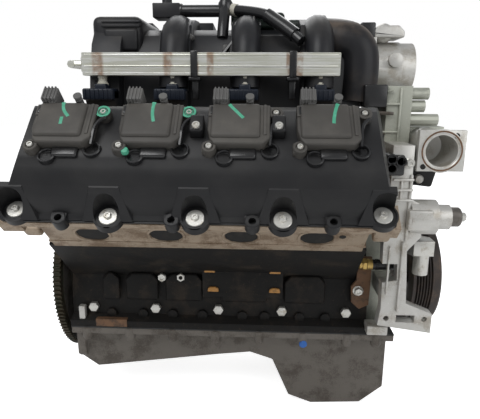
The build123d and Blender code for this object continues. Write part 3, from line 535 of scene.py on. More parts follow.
def both_banks(piece, name, slot, stands_for=(None, None), finish=None):
    """Settle a right bank piece and its mirrored counterpart."""
    other = mirrored(piece)
    for each, bank, node in ((piece, "right", stands_for[0]), (other, "left", stands_for[1])):
        settle(each, f"{name}_{bank}", slot, stands_for=(node,) if node else (), finish=finish)


def dressed(node, slot, width, segments=2, cutter=None):
    """A CAD node's own shape with its edges rounded and perhaps a piece cut away, standing for it."""
    source = frame["nodes"][node]
    piece = source.copy()
    piece.data = source.data.copy()
    for key in list(piece.keys()):
        del piece[key]
    bpy.context.scene.collection.objects.link(piece)
    piece.parent = None
    piece.matrix_world = Matrix.Identity(4)
    alone(piece)
    edit_all()
    bpy.ops.mesh.remove_doubles(threshold=2e-5)
    bpy.ops.mesh.dissolve_limited(angle_limit=math.radians(1.0))
    bpy.ops.object.mode_set(mode="OBJECT")
    if cutter:
        carve(piece, cutter)
    soften(piece, width, segments)
    body = source["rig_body"]
    return settle(piece, node + "_cast", slot, body, (node,))


def moved(piece, rule):
    """Each point of a piece put where rule sends it, in millimetres."""
    for vertex in piece.data.vertices:
        vertex.co = Vector(rule(*(vertex.co / MM))) * MM
    return piece


def across_bank(y, z):
    """How far in over the right bank, and how far up its bores, a point of the row frame is."""
    return (y + z) * ROOT, (z - y) * ROOT


def bolt(centre, seat, place, across=13.0, height=7.0, washer=0.0, steps=6):
    """A bolt standing on its seat, with a dished top, and a washer if it has one."""
    radius = across / 2 / math.cos(math.pi / steps)
    foot = seat + (WASHER if washer else 0.0)
    top = foot + height
    parts = [drum([(radius * 0.96, seat), (radius, foot + 0.6), (radius, top - 1.2), (radius * 0.86, top),
                   (radius * 0.5, top), (radius * 0.4, top - 1.6)], steps, place, centre)]
    if washer:
        rim = washer / 2
        parts.append(drum([(rim, seat), (rim, seat + 1.4), (rim - 0.8, foot)], 32, place, centre))
    return joined(parts)


def cup(centre, radius, low, high, hole, depth, place):
    """A round boss with a rounded rim and a blind hole in it."""
    return drum([(radius, low), (radius, high - 0.8), (radius - 0.8, high), (hole + 0.6, high), (hole, high - 0.6),
                 (hole * 0.96, high - depth)], 24, place, centre)


def around(radius, count, phase=0.0):
    """Points spread evenly round a circle."""
    turns = [math.tau * (i + phase) / count for i in range(count)]
    return [(radius * math.cos(turn), radius * math.sin(turn)) for turn in turns]


# What a user may change

class EngineColours(bpy.types.PropertyGroup):
    """Colours of the large moulded and cast pieces."""

    cover: bpy.props.FloatVectorProperty(name="Cover plastic", description="Colour of the valve covers",
                                         subtype="COLOR", default=(0.013, 0.013, 0.014), min=0, max=1)
    coil: bpy.props.FloatVectorProperty(name="Coil plastic", description="Colour of the ignition coils",
                                        subtype="COLOR", default=(0.062, 0.058, 0.053), min=0, max=1)
    floor: bpy.props.FloatVectorProperty(name="Floor", description="Colour of the floor and the backdrop",
                                         subtype="COLOR", default=(0.93, 0.93, 0.93), min=0, max=1)


class EngineSizes(bpy.types.PropertyGroup):
    """Sizes of the pieces that are modelled here."""

    washer: bpy.props.FloatProperty(name="Cover washer", description="Diameter of a valve cover bolt's washer, in mm",
                                    default=24.6, min=10, max=40)
    casting_edge: bpy.props.FloatProperty(name="Casting edge", description="Rounding of cast edges, in mm",
                                          default=2.0, min=0, max=6)


class DressCastings(bpy.types.Operator):
    """Paint every CAD node with the finish of its material slot"""

    bl_idname = "engine.dress_castings"
    bl_label = "Castings"

    def execute(self, context):
        slots = {part["node"]: part["material_slot"] for part in frame["record"]["subparts"]}
        for name, node in frame["nodes"].items():
            node.data.materials.clear()
            node.data.materials.append(FINISHES[slots[name]])
        return {"FINISHED"}


COVER_BOLTS = ((29, 97), (154, 106), (268, 106.5), (381, 107), (509, 98))
COVER_STUDS = ((90, 111), (238, 112), (342, 112), (445, 111))


class ValveCovers(bpy.types.Operator):
    """Both valve covers, with hollows for their bolts and bosses for their studs"""

    bl_idname = "engine.valve_covers"
    bl_label = "Valve covers"

    def execute(self, context):
        skin = [(-110, 366), (-111, 370), (-110, 374), (-104, 377), (-102, 385), (-98, 395), (-91.5, 404.5),
                (-83, 413), (-73, 420.5), (-62, 426), (-52, 428.5), (-47, 431), (28, 431), (40, 426), (53, 411),
                (63, 396), (68.5, 379), (74, 375), (74, 366)]
        cover = plate(skin, 10, 525, SECTION)

        def lean(x, y, z):
            rise = max(0.0, across_bank(y, z)[1] - 376) / 56
            return (x + 32 * rise if x < 260 else x - 22 * rise), y, z

        moved(cover, lean)
        rims = [drum([(18, 364), (19.4, 366), (19.4, 377.5)], 32, BANK, (x, -w)) for x, w in COVER_BOLTS]
        webs = []
        for x, w in COVER_BOLTS:
            left, right = max(x - 33, 11), min(x + 33, 524)
            web = plate([(left, 375), (max(x - 19, 13), 413), (min(x + 19, 520), 413), (right, 375)], 78, 100, FLANK)

            def flare(x, y, z):
                inwards, up = across_bank(y, z)
                out = -inwards if inwards > -90 else 113 - 0.72 * (up - 375)
                return x, -ROOT * (up + out), ROOT * (up - out)

            webs.append(moved(web, flare))
        studs = [drum([(9.5, 362), (10, 364), (10, 380), (9, 381)], 24, BANK, (x, -w)) for x, w in COVER_STUDS]
        posts = [slab((x - 10, -w, 363), (x + 10, -w + 14, 380), BANK, 0) for x, w in COVER_STUDS]
        weld(cover, joined(webs), joined(rims), joined(studs), joined(posts))
        hollows = [drum([(17.2, COVER_SEAT), (17.2, 403), (15, 409), (9, 413)], 32, BANK, (x, -w))
                   for x, w in COVER_BOLTS]
        holes = [peg(5, 370, 384, 20, BANK, (x, -w)) for x, w in COVER_STUDS]
        carve(cover, joined(hollows), joined(holes))
        soften(cover, 1.3, 2, 30)
        moved(cover, lambda x, y, z: (x, max(y, cad_box[0][1] / MM), z))
        both_banks(cover, "valve_cover_skin", "cover_plastic", ("valve_cover_right", "valve_cover_left"))
        seam = joined(slabs(FLANK, (14, 369.6, 108, 521, 371.4, 112.4, 0.4), (16, 362, 100, 519, 366.4, 108.5, 0.6)))
        both_banks(seam, "valve_cover_seam", "cover_plastic")
        neck = drum([(27, 380), (23, 412), (23, 432), (21, 433)], 32, BANK, (476, 66))
        left_neck = mirrored(neck)
        bpy.data.objects.remove(neck)
        settle(left_neck, "filler_neck", "cover_plastic")
        return {"FINISHED"}


class CoverBolts(bpy.types.Operator):
    """The bright bolts of the valve covers on their washers"""

    bl_idname = "engine.cover_bolts"
    bl_label = "Cover bolts"

    def execute(self, context):
        width = context.scene.engine_sizes.washer
        heads = joined([bolt((x, -w), COVER_SEAT, BANK, 9.0, 4.0, width) for x, w in COVER_BOLTS])
        settle(joined([heads, mirrored(heads)]), "cover_bolt_heads", "bright_steel",
               stands_for=("valve_cover_bolts",), smooth=24)
        return {"FINISHED"}


class Coils(bpy.types.Operator):
    """Eight ignition coils with their connectors, screws and straps"""

    bl_idname = "engine.coils"
    bl_label = "Ignition coils"

    def execute(self, context):
        lid = [(-36, -36), (-31, -43), (30, -43), (39, -34), (40, 21), (-40, 21), (-40, -20)]
        case = joined([plate(lid, 430, 446.5, BANK, 2.4, 3),
                       plate([(-36, -35), (27, -35), (27, 20.5), (-36, 20.5)], 442, 451, BANK, 4.5, 4),
                       *slabs(BANK, (-40, 0, 436, -33, 18, 448.5, 1.2), (31, -30, 440, 35, 20, 448, 1.0),
                              (-46, -52, 430, -30, -36, 441, 3, 3), (33, 2, 430, 56, 19, 441, 4, 3))])
        ears = joined([cup((-37, -45), 9, 428, 443, 5.5, 3, BANK), cup((47, 10), 9.5, 428, 444, 5.5, 3, BANK)])
        ribs = [(-33.5 + 4.6 * i, 18.6, 436, -31.5 + 4.6 * i, 41, 458.4, 0.6) for i in range(4)]
        tower = joined([*slabs(BANK, (-35, 20, 432, -15, 40, 457, 1.5), (-26, 18, 438, -16, 24, 452, 1.5), *ribs),
                        drum([(5, 440), (5, 450), (3.6, 451), (3.6, 453), (5.6, 454), (5.6, 456.5), (5, 457)], 20,
                             BANK, (13, 26))])
        strap = joined([band([(52, 0, 443), (47, -3, 444), (41, -14, 444), (40, -28, 443), (39, -40, 438)], 2.6, BANK),
                        *slabs(BANK, (-37.5, 3, 447, -34.5, 15, 449.6, 0.3), (-12, -56, 425, 22, -40, 436, 3, 3)),
                        cup((-18, -54), 11.5, 424, 434, 8.6, 3, BANK), cup((39, -44), 12, 424, 435, 9, 4, BANK)])
        screws = joined([bolt(spot, 440.5, BANK, 8, 4.4, 0, 16) for spot in ((-37, -45), (47, 10))])
        nodes = ("coil_packs_right", "coil_packs_left")
        for piece, name, slot, more in ((case, "coil_case", "coil_plastic", {"stands_for": nodes}),
                                        (ears, "coil_ear", "coil_plastic", {}),
                                        (tower, "coil_tower", "coil_plastic", {"finish": "coil_grey"}),
                                        (strap, "coil_strap", "cover_plastic", {"finish": "gloss_black"}),
                                        (screws, "coil_screw", "bright_steel", {})):
            piece.data.transform(shifted(BORES[0], COIL_IN, COIL_IN))
            both_banks(each_bore(piece), name, slot, **more)
        post_places = (269, 374)
        posts = joined(slabs(BANK, *[(x - 9, -19, 428, x + 9, 8, 447, 3, 3) for x in post_places]))
        both_banks(posts, "cover_post", "cover_plastic")
        tips = joined([bolt((x, -12), 446.5, BANK, 11, 4, 0, 20) for x in post_places])
        both_banks(tips, "cover_post_screw", "bright_steel")
        return {"FINISHED"}


class PaintMarks(bpy.types.Operator):
    """Strokes and rings of green marking paint on the right bank's coils"""

    bl_idname = "engine.paint_marks"
    bl_label = "Paint marks"

    def execute(self, context):
        strokes = ([(92, 19), (93, 10), (97, 2), (103, -5)], [(95, -6), (95.5, -18)], [(212, 20), (210, 2), (215, -13)],
                   [(310, 17), (318, 7), (329, -6)], [(449, 19), (443, 3), (442, -14)])
        marks = []
        for stroke in strokes:
            mark = band([(x, v, COIL_TOP) for x, v in stroke], 2.6)
            moved(mark, lambda x, y, z: (x, y, COIL_TOP + (z - COIL_TOP) * 0.12))
            mark.data.transform(shifted(0, COIL_IN, COIL_IN) @ BANK)
            marks.append(mark)
        rings = [drum([(9.6, 443.6), (9.6, 444.3), (6.6, 444.3), (6.6, 443.6)], 24, BANK, (bore + 47, 14))
                 for bore in BORES[:2]]
        daub = drum([(5, 436), (4.6, 441.5), (3, 442.2)], 12, BANK, (BORES[1] - 29, -47))
        settle(joined([*marks, *rings, daub]), "paint_marks", "coil_plastic", finish="green_paint")
        return {"FINISHED"}


class FuelRail(bpy.types.Operator):
    """Fuel rails with their clips, and the injectors with their connectors"""

    bl_idname = "engine.fuel_rail"
    bl_label = "Fuel rail"

    def execute(self, context):
        rail = joined(slabs(SIDE, (72.2, 373.2, 152.2, 469.8, 407.8, 176.8, 2.0, 3),
                            (76, 402.4, 173, 466, 405.2, 177.6, 1.0), (76, 386, 174, 466, 389, 177.8, 1.2),
                            (76, 376, 174, 466, 378, 177.2, 0.8), (69, 378, 156, 76, 402, 173, 2.5)))
        both_banks(rail, "fuel_rail_tube", "rail_steel")
        clips = []
        for x in (247, 398):
            clips += slabs(SIDE, (x - 5.5, 371, 150, x + 5.5, 410, 179.5, 1.5), (x - 5, 338, 152, x + 5, 374, 168, 1.5),
                           (x - 9, 366, 156, x + 9, 372, 178, 1.5))
        both_banks(joined(clips), "rail_clip", "intake_plastic", finish="gloss_black")
        tips, plugs = [], []
        for x in (100, 212, 325, 441):
            tips.append(drum([(7.6, 358), (7.6, 364), (5.6, 365), (5.6, 369), (7.2, 370), (7.2, 376)], 20, LEVEL,
                             (x, -165)))
            plugs += slabs(SIDE, (x - 28, 336, 152, x + 21, 354, 184, 3, 3), (x - 9, 346, 156, x + 9, 361, 180, 2.5, 3),
                           *[(x - 24 + 7 * i, 337.5, 183, x - 22 + 7 * i, 352.5, 185.6, 0.6) for i in range(7)])
        both_banks(joined(tips), "injector_tip", "injector_plastic")
        both_banks(joined(plugs), "injector_plug", "intake_plastic", finish="blue_black")
        return {"FINISHED"}


class Ports(bpy.types.Operator):
    """Rims of the exhaust ports, and near-black linings in them: soot, and painted shade of the ports' depth"""

    bl_idname = "engine.ports"
    bl_label = "Ports"

    def execute(self, context):
        def blunt(share):
            return math.copysign(abs(share) ** 0.8, share)

        def oval(bore, wide=1.0, high=1.0):
            """The outline of a port, wider and higher by these shares."""
            return [(bore + wide * PORT_HALF[0] * blunt(across), PORT_UP + high * PORT_HALF[1] * blunt(up))
                    for across, up in around(1, 36)]

        rims = [carve(plate(oval(bore, 1.16, 1.2), 70, 79.4, FLANK, 0), plate(oval(bore), 69, 82, FLANK))
                for bore in BORES]
        # the linings fill the ports near black: soot, and painted shade of the ports' depth
        linings = [plate(oval(bore, 0.97, 0.97), 52, 77.0, FLANK) for bore in BORES]
        both_banks(soften(joined(rims), 0.8, 2), "exhaust_face", "head_aluminium")
        both_banks(joined(linings), "exhaust_carbon_and_shade", "head_aluminium", finish="soot_and_painted_shade")
        return {"FINISHED"}


class Turned(bpy.types.Operator):
    """Damper, pulley, idler, flexplate and ring gear"""

    bl_idname = "engine.turned"
    bl_label = "Turned pieces"

    def execute(self, context):
        profile = [(76, 633), (99, 633), (102, 635)]
        for i in range(6):
            x = 640 + 5.2 * i
            profile += [(102, x), (97.5, x + 1.6), (97.5, x + 2.6), (102, x + 4.2)]
        profile += [(102, 683), (99, 686.5), (88, 687)]
        ring = drum(profile, 96, FRONT)
        carve(ring, peg(76.5, 630, 690, 64, FRONT))
        settle(ring, "damper_ribs", "damper_iron", "crank", ("damper_ring",))
        teeth = []
        for i in range(TEETH):
            for share, radius in ((0.0, 161.2), (0.22, 161.2), (0.36, 165.2), (0.58, 165.2), (0.72, 161.2)):
                turn = math.tau * (i + share) / TEETH
                teeth.append((radius * math.cos(turn), radius * math.sin(turn)))
        gear = plate(teeth, -13.5, -0.5, FRONT)
        carve(gear, peg(149.6, -16, 2, 96, FRONT))
        settle(gear, "ring_gear_teeth", "ring_steel", "crank", ("ring_gear",), 25)
        disc = drum([(14, -0.2), (149.8, -0.2), (149.8, -2.6), (118, -3), (60, -3), (14, -3)], 96, FRONT)
        holes = [peg(14, -6, 3, 28, FRONT, spot) for spot in around(92, 6)]
        slots = [peg(6, -6, 3, 16, FRONT, spot) for spot in around(128, 6, 0.5)]
        carve(disc, joined(holes), joined(slots), peg(13, -6, 3, 32, FRONT))
        settle(soften(disc, 0.5, 1, 40), "flexplate_disc", "forged_steel", "crank", ("flexplate",))
        wheel = drum([(40, 640), (46, 640), (52, 643), (52, 645), (47, 648), (47, 667), (51, 670), (52, 673), (49, 674),
                      (45, 668), (20, 664), (19, 673), (13, 674)], 64, FRONT, PUMP)
        settle(wheel, "pulley_rim", "pulley_black", "water_pump", ("water_pump_pulley",))
        hub = drum([(15, 650.4), (15.6, 651.5), (15.6, 665), (14, 667), (9.5, 667.4), (9.5, 668)], 32, FRONT, IDLER)
        settle(hub, "idler_boss", "forged_steel", "idler", ("idler_hub",))
        nut = drum([(7.6, 667), (7.6, 675), (6.4, 676.6), (4, 676.6), (3.4, 675)], 6, FRONT, IDLER)
        settle(nut, "idler_nut", "bright_steel", "idler")
        return {"FINISHED"}


class FrontCastings(bpy.types.Operator):
    """Castings at the front and the bracket, with their ribs, connectors and sensors"""

    bl_idname = "engine.front_castings"
    bl_label = "Front castings"

    def execute(self, context):
        edge = context.scene.engine_sizes.casting_edge
        for node, slot, width in (("water_pump_housing", "cast_aluminium", edge),
                                  ("thermostat_housing", "machined_aluminium", edge * 0.6),
                                  ("accessory_bracket", "machined_aluminium", edge),
                                  ("timing_cover", "cast_aluminium", edge),
                                  ("throttle_body", "machined_aluminium", edge * 0.7),
                                  ("heater_nipple", "bright_steel", edge * 0.5)):
            dressed(node, slot, width)
        lip = drum([(33, 197.5), (33, 200.4), (31.5, 201), (27.5, 201), (25, 199)], 48, SIDE, THERMOSTAT)
        carve(lip, peg(25, 190, 205, 48, SIDE, THERMOSTAT))
        settle(lip, "thermostat_lip", "machined_aluminium")
        rusty = drum([(30.8, 200.4), (30.8, 201.2), (28.2, 201.2), (28.2, 200.4)], 48, SIDE, THERMOSTAT)
        carve(rusty, peg(28.3, 190, 205, 48, SIDE, THERMOSTAT))
        settle(rusty, "thermostat_gasket_line", "machined_aluminium", finish="rusty_steel")
        # dark discs in the thermostat's two bolt holes: painted shade of the holes
        holes = joined([peg(4.2, 199, 200.8, 20, SIDE, spot) for spot in ((644, 287), (598, 240))])
        settle(holes, "thermostat_bolt_hole_shade", "machined_aluminium", finish="soot_and_painted_shade")
        dark = plate([(596, 234), (651, 234), (642, 193), (606, 197)], 60, 122, SIDE, 4, 3)
        settle(dark, "pump_shield", "pulley_black")
        settle(drum([(7.5, 120), (7.5, 128), (6, 130)], 20, SIDE, (618, 208)), "shield_knob", "machined_aluminium")
        ribs = joined([*slabs(SIDE, (534, 330, 136, 572, 333.4, 143, 1.2), (536, 286, 136, 571, 289, 142, 1.0),
                              (571, 262, 130, 575, 357, 142.5, 1.5), (534, 262, 136, 572, 267, 143, 1.5)),
                       band([(538, -141, 346), (548, -142, 351), (560, -142, 353)], 1.6),
                       drum([(8, 588), (8, 614), (7, 616)], 24, FRONT, (-126, 348))])
        settle(ribs, "pump_casting_ribs", "cast_aluminium")
        rod = band([(536, -144, 318), (562, -144, 317)], 3.0)
        settle(rod, "pump_casting_rod", "cast_aluminium", finish="forged_steel")
        plugs = joined([*[cup(spot, 8.5, 190, 213, 5.6, 7, SIDE) for spot in ((548, 252), (562, 249), (549, 238))],
                        slab((540, 226, 160), (570, 258, 206), SIDE, 4, 3)])
        settle(plugs, "sensor_plugs", "coil_plastic", finish="gloss_black")
        settle(bolt((578, 245), 199, SIDE, 11, 5, 16), "sensor_plug_bolt", "bright_steel", smooth=24)
        fins = joined(slabs(SIDE, *[(554, z, 192, 586, z + 4, 206, 1.8) for z in (186, 202, 218)],
                            (566, 184, 192, 570, 222, 204, 1.5), (580, 120, 190, 585, 228, 203, 1.8),
                            (556, 30, 200, 559, 112, 206, 1.2), (576, 0, 200, 580, 120, 206, 1.5)))
        settle(fins, "bracket_fins", "machined_aluminium")
        settle(slab((514, 326, 96), (551, 362, 146), SIDE, 3, 3), "vapour_box", "intake_plastic", finish="gloss_black")
        box = slab((580, 141, 196), (618, 174, 213), SIDE, 3, 3)
        carve(box, peg(5, 205, 220, 20, SIDE, (606, 159)))
        settle(box, "bracket_box", "machined_aluminium")
        # a dark disc at the bottom of the box's hole: painted shade
        settle(peg(4.6, 207, 208, 20, SIDE, (606, 159)), "bracket_box_hole_shade", "machined_aluminium", finish="soot_and_painted_shade")
        brass = joined([drum([(8.6, 519.5), (8.6, 524), (10.5, 525), (10.5, 531), (8, 532), (8, 540)], 6, FRONT,
                             SENSOR),
                        drum([(9, 532), (9.6, 534), (9, 541)], 24, FRONT, SENSOR)])
        settle(brass, "sensor_body", "sensor_brass")
        plug = joined([drum([(8, 540), (8.8, 541), (8.8, 582), (8, 583.5)], 24, FRONT, SENSOR),
                       peg(9.6, 547, 551, 24, FRONT, SENSOR)])
        settle(plug, "sensor_cap", "sensor_brass", stands_for=("knock_sensor",), finish="gloss_black")
        dressed("sensor_bracket", "rusty_steel", 1.0)
        settle(bolt((524, 13), 149, SIDE, 13, 6, 18), "sensor_bracket_bolt", "rusty_steel", finish="bright_steel")
        return {"FINISHED"}


class BlockAndPan(bpy.types.Operator):
    """Block, pan and heads, with their ribs, plugs, lugs and bolt heads"""

    bl_idname = "engine.block_and_pan"
    bl_label = "Block and pan"

    def execute(self, context):
        edge = context.scene.engine_sizes.casting_edge
        dressed("engine_block", "block_iron", edge)
        dressed("oil_pan", "pan_aluminium", edge * 1.5)
        corner = plate([(74, 368), (112, 368), (112, 308), (74, 365.6)], -10, 540, SECTION)
        for bank, cutter in (("right", corner), ("left", mirrored(corner))):
            dressed("cylinder_head_" + bank, "head_aluminium", edge * 0.8, cutter=cutter)
        dressed("cross_bolts", "bright_steel", 0.8)
        dressed("oil_filter", "filter_paint", 2.5, 3)
        dressed("oil_filler_cap", "cover_plastic", 1.5)
        heads = joined([bolt(spot, 142, SIDE, 14, 6) for spot in ((178, 28), (212, 29))])
        settle(heads, "block_bolts", "bright_steel")
        outline = [(-10, -4), (10, -4), (9, 3), (4, 5), (-4, 5), (-9, 3)]
        plugs = joined([plate([(x + right, z + up) for right, up in outline], 140, 151, SIDE, 1.5)
                        for x, z in ((264, 45), (270, 9), (379, 45), (379, 9))])
        settle(plugs, "block_plugs", "block_iron", finish="orange_plug")
        ribs = [plate([(low, -16), (high, -16), (high, 24), (high - 12, 36), (low + 12, 36), (low, 24)], 136, 147, SIDE,
                      4, 3) for low, high in ((70, 100), (112, 170), (184, 250), (284, 366), (396, 468))]
        ribs += [drum([(9, 136), (9, 149), (7.5, 150)], 20, SIDE, (x, -42))
                 for x in (84, 142, 196, 250, 322, 362, 424, 470)]
        ribs += slabs(SIDE, (26, -56, 136, 514, -46, 150, 3, 3))
        settle(joined(ribs), "block_ribs", "block_iron")
        lugs = slabs(FLANK, (-12, 260, 50, 16, 280, 77, 5, 3), (520, 260, 50, 546, 282, 77, 5, 3),
                     (20, 291, 70, 514, 297, 80, 1.5), (20, 246, 70, 514, 251, 79.5, 1.5))
        both_banks(joined(lugs), "head_lugs", "head_aluminium")
        # a dark disc on each head where a small hole is: painted shade
        both_banks(peg(5, 70, 78.6, 20, FLANK, (474, 279)), "head_small_hole_shade", "head_aluminium", finish="soot_and_painted_shade")
        settle(slab((58, -63, 148), (115, -48, 161), SIDE, 1.5), "brown_plate", "rusty_steel")
        tabs = joined(slabs(SIDE, (538, -57, 150, 573, -40, 178, 2, 3), (27, -60, 146, 38, -26, 157, 1.5)))
        settle(tabs, "silver_tabs", "machined_aluminium")
        settle(slab((36, 45, 140), (60, 62, 150), SIDE, 1.5), "side_tab", "rusty_steel")
        settle(drum([(7, 158), (7, 163), (6, 164)], 20, SIDE, (431, -86)), "pan_blue_plug", "pan_aluminium",
               finish="blue_plug")
        flange = joined([drum([(7, -90), (9, -86), (9, -66.5), (7.5, -65.5)], 20, LEVEL, (x, -154))
                         for x in (40, 118, 196, 274, 352, 430, 508, 560)])
        settle(flange, "pan_flange_bosses", "pan_aluminium")
        return {"FINISHED"}


class IntakeAndThrottle(bpy.types.Operator):
    """The intake manifold with its runners, and what stands on it"""

    bl_idname = "engine.intake"
    bl_label = "Intake"

    def execute(self, context):
        dressed("intake_manifold", "intake_plastic", 5, 3)
        dressed("purge_valve", "intake_plastic", 1.5)
        pipe = joined([band([(205, -60, 484.5), (279, -60, 484.5)], 10.2, LEVEL, 20),
                       drum([(11, 478), (12.4, 482), (12.4, 496), (9, 502), (4, 503.5)], 24, LEVEL, (287, -63)),
                       band([(286, -66, 486), (285, -84, 466), (284, -96, 436)], 9.5, LEVEL, 20),
                       drum([(12, 206), (12, 212), (11, 213)], 24, FRONT, (-60, 484.5))])
        settle(pipe, "breather_line", "hose_rubber", stands_for=("breather_pipe",))
        dressed("throttle_actuator", "machined_aluminium", 2.5, 3)
        plenum = joined(slabs(SIDE, (69, 402, -57, 152, 470, 112, 12, 4), (90, 414, 60, 146, 450, 117, 5, 3),
                              (86, 452, 60, 150, 456, 115.5, 1.5), (86, 459, 60, 150, 462, 114, 1.2)))
        settle(plenum, "plenum_box", "intake_plastic")
        arches = [band([(x, -150, 356), (x, -148, 405), (x, -118, 446), (x, -62, 455), (x, 0, 452), (x, 62, 455),
                        (x, 118, 446), (x, 148, 405), (x, 150, 356)], 23, LEVEL, 24) for x in (210, 325, 441)]
        settle(joined(arches), "runner_arches", "intake_plastic")
        ridges = joined([band([(x, -166, 372), (x, -162, 412), (x, -128, 460), (x, -66, 477.5), (x, 0, 474)], 2.2)
                         for x in (326, 336, 452)])
        settle(ridges, "runner_ridges", "intake_plastic", finish="coil_grey")
        brace = band([(284, -132, 404), (322, -118, 452)], 3.2)
        settle(brace, "runner_brace", "intake_plastic", finish="gloss_black")
        cover = joined(slabs(SIDE, (296, 455, 20, 388, 482, 66, 7, 4), (392, 452, -20, 470, 474, 40, 8, 3)))
        settle(cover, "runner_cover", "intake_plastic", finish="green_black")
        elbow = band([(430, -88, 436), (482, -98, 436), (509, -103, 420), (512, -105, 380), (508, -106, 335)], 32,
                     LEVEL, 32)
        settle(elbow, "intake_elbow", "intake_plastic", finish="dusty_elbow")
        settle(drum([(33, 440), (35.5, 441), (35.5, 446), (33, 447)], 40, FRONT, (-91, 436)), "elbow_clamp",
               "intake_plastic", finish="coil_grey")
        flange = drum([(48, 526), (54, 529), (54, 538), (51, 540.6)], 48, FRONT, (0, 393))
        settle(flange, "elbow_flange", "intake_plastic", finish="gloss_black")
        settle(slab((521, -46, 440), (547, 28, 468), LEVEL, 3, 3), "actuator_plug", "intake_plastic",
               finish="gloss_black")
        dome = drum([(15, -24), (17, -20), (17, 22), (14, 32), (7, 37)], 32, SIDE, (566, 452))
        settle(dome, "actuator_dome", "machined_aluminium")
        knobs = joined([drum([(5, 100), (5, 118), (4, 120)], 16, SIDE, (233, 436)),
                        slab((286, 404, 90), (296, 424, 128), SIDE, 4)])
        settle(knobs, "intake_knobs", "intake_plastic", finish="coil_grey")
        sleeve = band([(358, -103, 471), (380, -118, 455), (402, -134, 437)], 11.5, LEVEL, 16)
        settle(sleeve, "hose_sleeve", "hose_rubber")
        hose = band([(306, -69, 484), (335, -86, 479), (362, -106, 470), (388, -124, 449), (412, -141, 427)], 9,
                    LEVEL, 20)
        settle(hose, "hose_line", "hose_rubber", stands_for=("breather_hose",))
        collar = band([(296, -62, 486.5), (307, -69, 483.6)], 10.2, LEVEL, 20)
        settle(collar, "hose_collar", "hose_rubber", finish="injector_plastic")
        return {"FINISHED"}


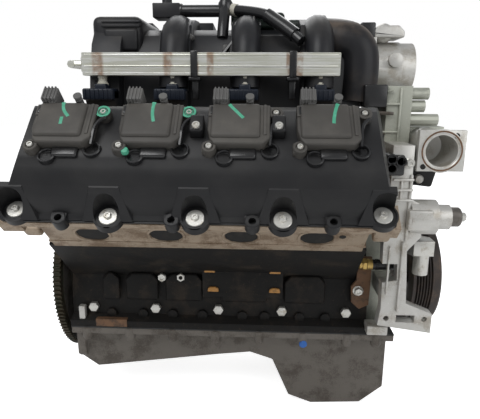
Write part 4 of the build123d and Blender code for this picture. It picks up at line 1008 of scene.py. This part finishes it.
class SetStage(bpy.types.Operator):
    """Camera, lamps, floor and backdrop"""

    bl_idname = "engine.set_stage"
    bl_label = "Stage"

    def execute(self, context):
        pitch, yaw, roll = (math.radians(angle) for angle in PITCH_YAW_ROLL)
        ahead = Vector((-math.sin(yaw) * math.cos(pitch), math.cos(yaw) * math.cos(pitch), -math.sin(pitch)))
        right = Vector((math.cos(yaw), math.sin(yaw), 0))
        up = right.cross(ahead)
        across = right * math.cos(roll) + up * math.sin(roll)
        above = up * math.cos(roll) - right * math.sin(roll)
        lift_selection()
        bpy.ops.object.camera_add(location=EYE)
        camera = bpy.context.object
        camera.matrix_world = Matrix.Translation(EYE) @ Matrix((across, above, -ahead)).transposed().to_4x4()
        camera.data.lens = LENS
        camera.data.sensor_width = 36
        camera.data.clip_start = 0.01
        context.scene.camera = camera
        context.scene.view_settings.view_transform = "Standard"

        world = bpy.data.worlds.new("studio")
        context.scene.world = world
        world.use_nodes = True
        tree = world.node_tree
        tree.nodes.clear()
        out = tree.nodes.new("ShaderNodeOutputWorld")
        rays = tree.nodes.new("ShaderNodeLightPath")
        soft, shown, choose = (tree.nodes.new(kind) for kind in
                               ("ShaderNodeBackground", "ShaderNodeBackground", "ShaderNodeMixShader"))
        soft.inputs[0].default_value = (0.96, 0.98, 1.0, 1)
        soft.inputs[1].default_value = 0.42
        shown.inputs[0].default_value = (1, 1, 1, 1)
        shown.inputs[1].default_value = 1.0
        tree.links.new(rays.outputs["Is Camera Ray"], choose.inputs[0])
        tree.links.new(soft.outputs[0], choose.inputs[1])
        tree.links.new(shown.outputs[0], choose.inputs[2])
        tree.links.new(choose.outputs[0], out.inputs[0])

        lamps = (("key", (-0.5, -1.5, 1.9), 1.3, 24.0), ("fill", (1.7, -1.2, 0.9), 1.4, 9.0),
                 ("back", (0.2, 1.6, 1.6), 1.6, 16.0))
        for name, place, size, watts in lamps:
            bpy.ops.object.light_add(type="AREA", location=place)
            lamp = bpy.context.object
            lamp.name = name
            lamp.data.size = size
            lamp.data.energy = watts
            aim = MIDDLE - Vector(place)
            lamp.rotation_euler = aim.to_track_quat("-Z", "Y").to_euler()

        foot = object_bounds()[0][2]
        bpy.ops.mesh.primitive_plane_add(size=14, location=(0.3, 0, foot))
        floor = bpy.context.object
        floor.name = "floor"
        tone = Finish("floor")
        colour = tuple(context.scene.engine_colours.floor)
        paler = tuple(min(1.0, share * 1.05) for share in colour)
        tone.set(Base_Color=tone.mix(colour, paler, tone.cloud(3.0, 3.0)), Roughness=0.8)
        floor.data.materials.append(tone.material)
        # the camera sees the floor glow, and nothing else is lit by it
        rays = tone.node("ShaderNodeLightPath")
        seen = tone.node("ShaderNodeMixShader", Fac=rays.outputs["Is Camera Ray"])
        glow = tone.node("ShaderNodeEmission", Strength=0.8)
        both = tone.node("ShaderNodeAddShader")
        for start, end in ((tone.shader, seen.inputs[1]), (tone.shader, both.inputs[0]), (glow, both.inputs[1]),
                           (both, seen.inputs[2]), (seen, tone.output.inputs[0])):
            tone.tree.links.new(start.outputs[0], end)
        floor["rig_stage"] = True
        return {"FINISHED"}


class EnginePanel(bpy.types.Panel):
    """The engine's pieces, in the sidebar"""

    bl_idname = "VIEW3D_PT_engine"
    bl_label = "Vee engine"
    bl_space_type = "VIEW_3D"
    bl_region_type = "UI"
    bl_category = "Engine"

    def draw(self, context):
        for group in (context.scene.engine_colours, context.scene.engine_sizes):
            for key in group.__annotations__:
                self.layout.prop(group, key)
        for step in STEPS:
            self.layout.operator(step.bl_idname)


STEPS = (DressCastings, ValveCovers, CoverBolts, Coils, PaintMarks, FuelRail, Ports, Turned, FrontCastings,
         BlockAndPan, IntakeAndThrottle, SetStage)
CLASSES = (EngineColours, EngineSizes, *STEPS, EnginePanel)


def register():
    for each in CLASSES:
        bpy.utils.register_class(each)
    bpy.types.Scene.engine_colours = bpy.props.PointerProperty(type=EngineColours)
    bpy.types.Scene.engine_sizes = bpy.props.PointerProperty(type=EngineSizes)


def unregister():
    del bpy.types.Scene.engine_sizes
    del bpy.types.Scene.engine_colours
    for each in reversed(CLASSES):
        bpy.utils.unregister_class(each)


def main():
    register()
    mix_finishes(bpy.context.scene.engine_colours)
    for step in STEPS:
        group, action = step.bl_idname.split(".")
        getattr(getattr(bpy.ops, group), action)()


if __name__ == "__main__":
    main()
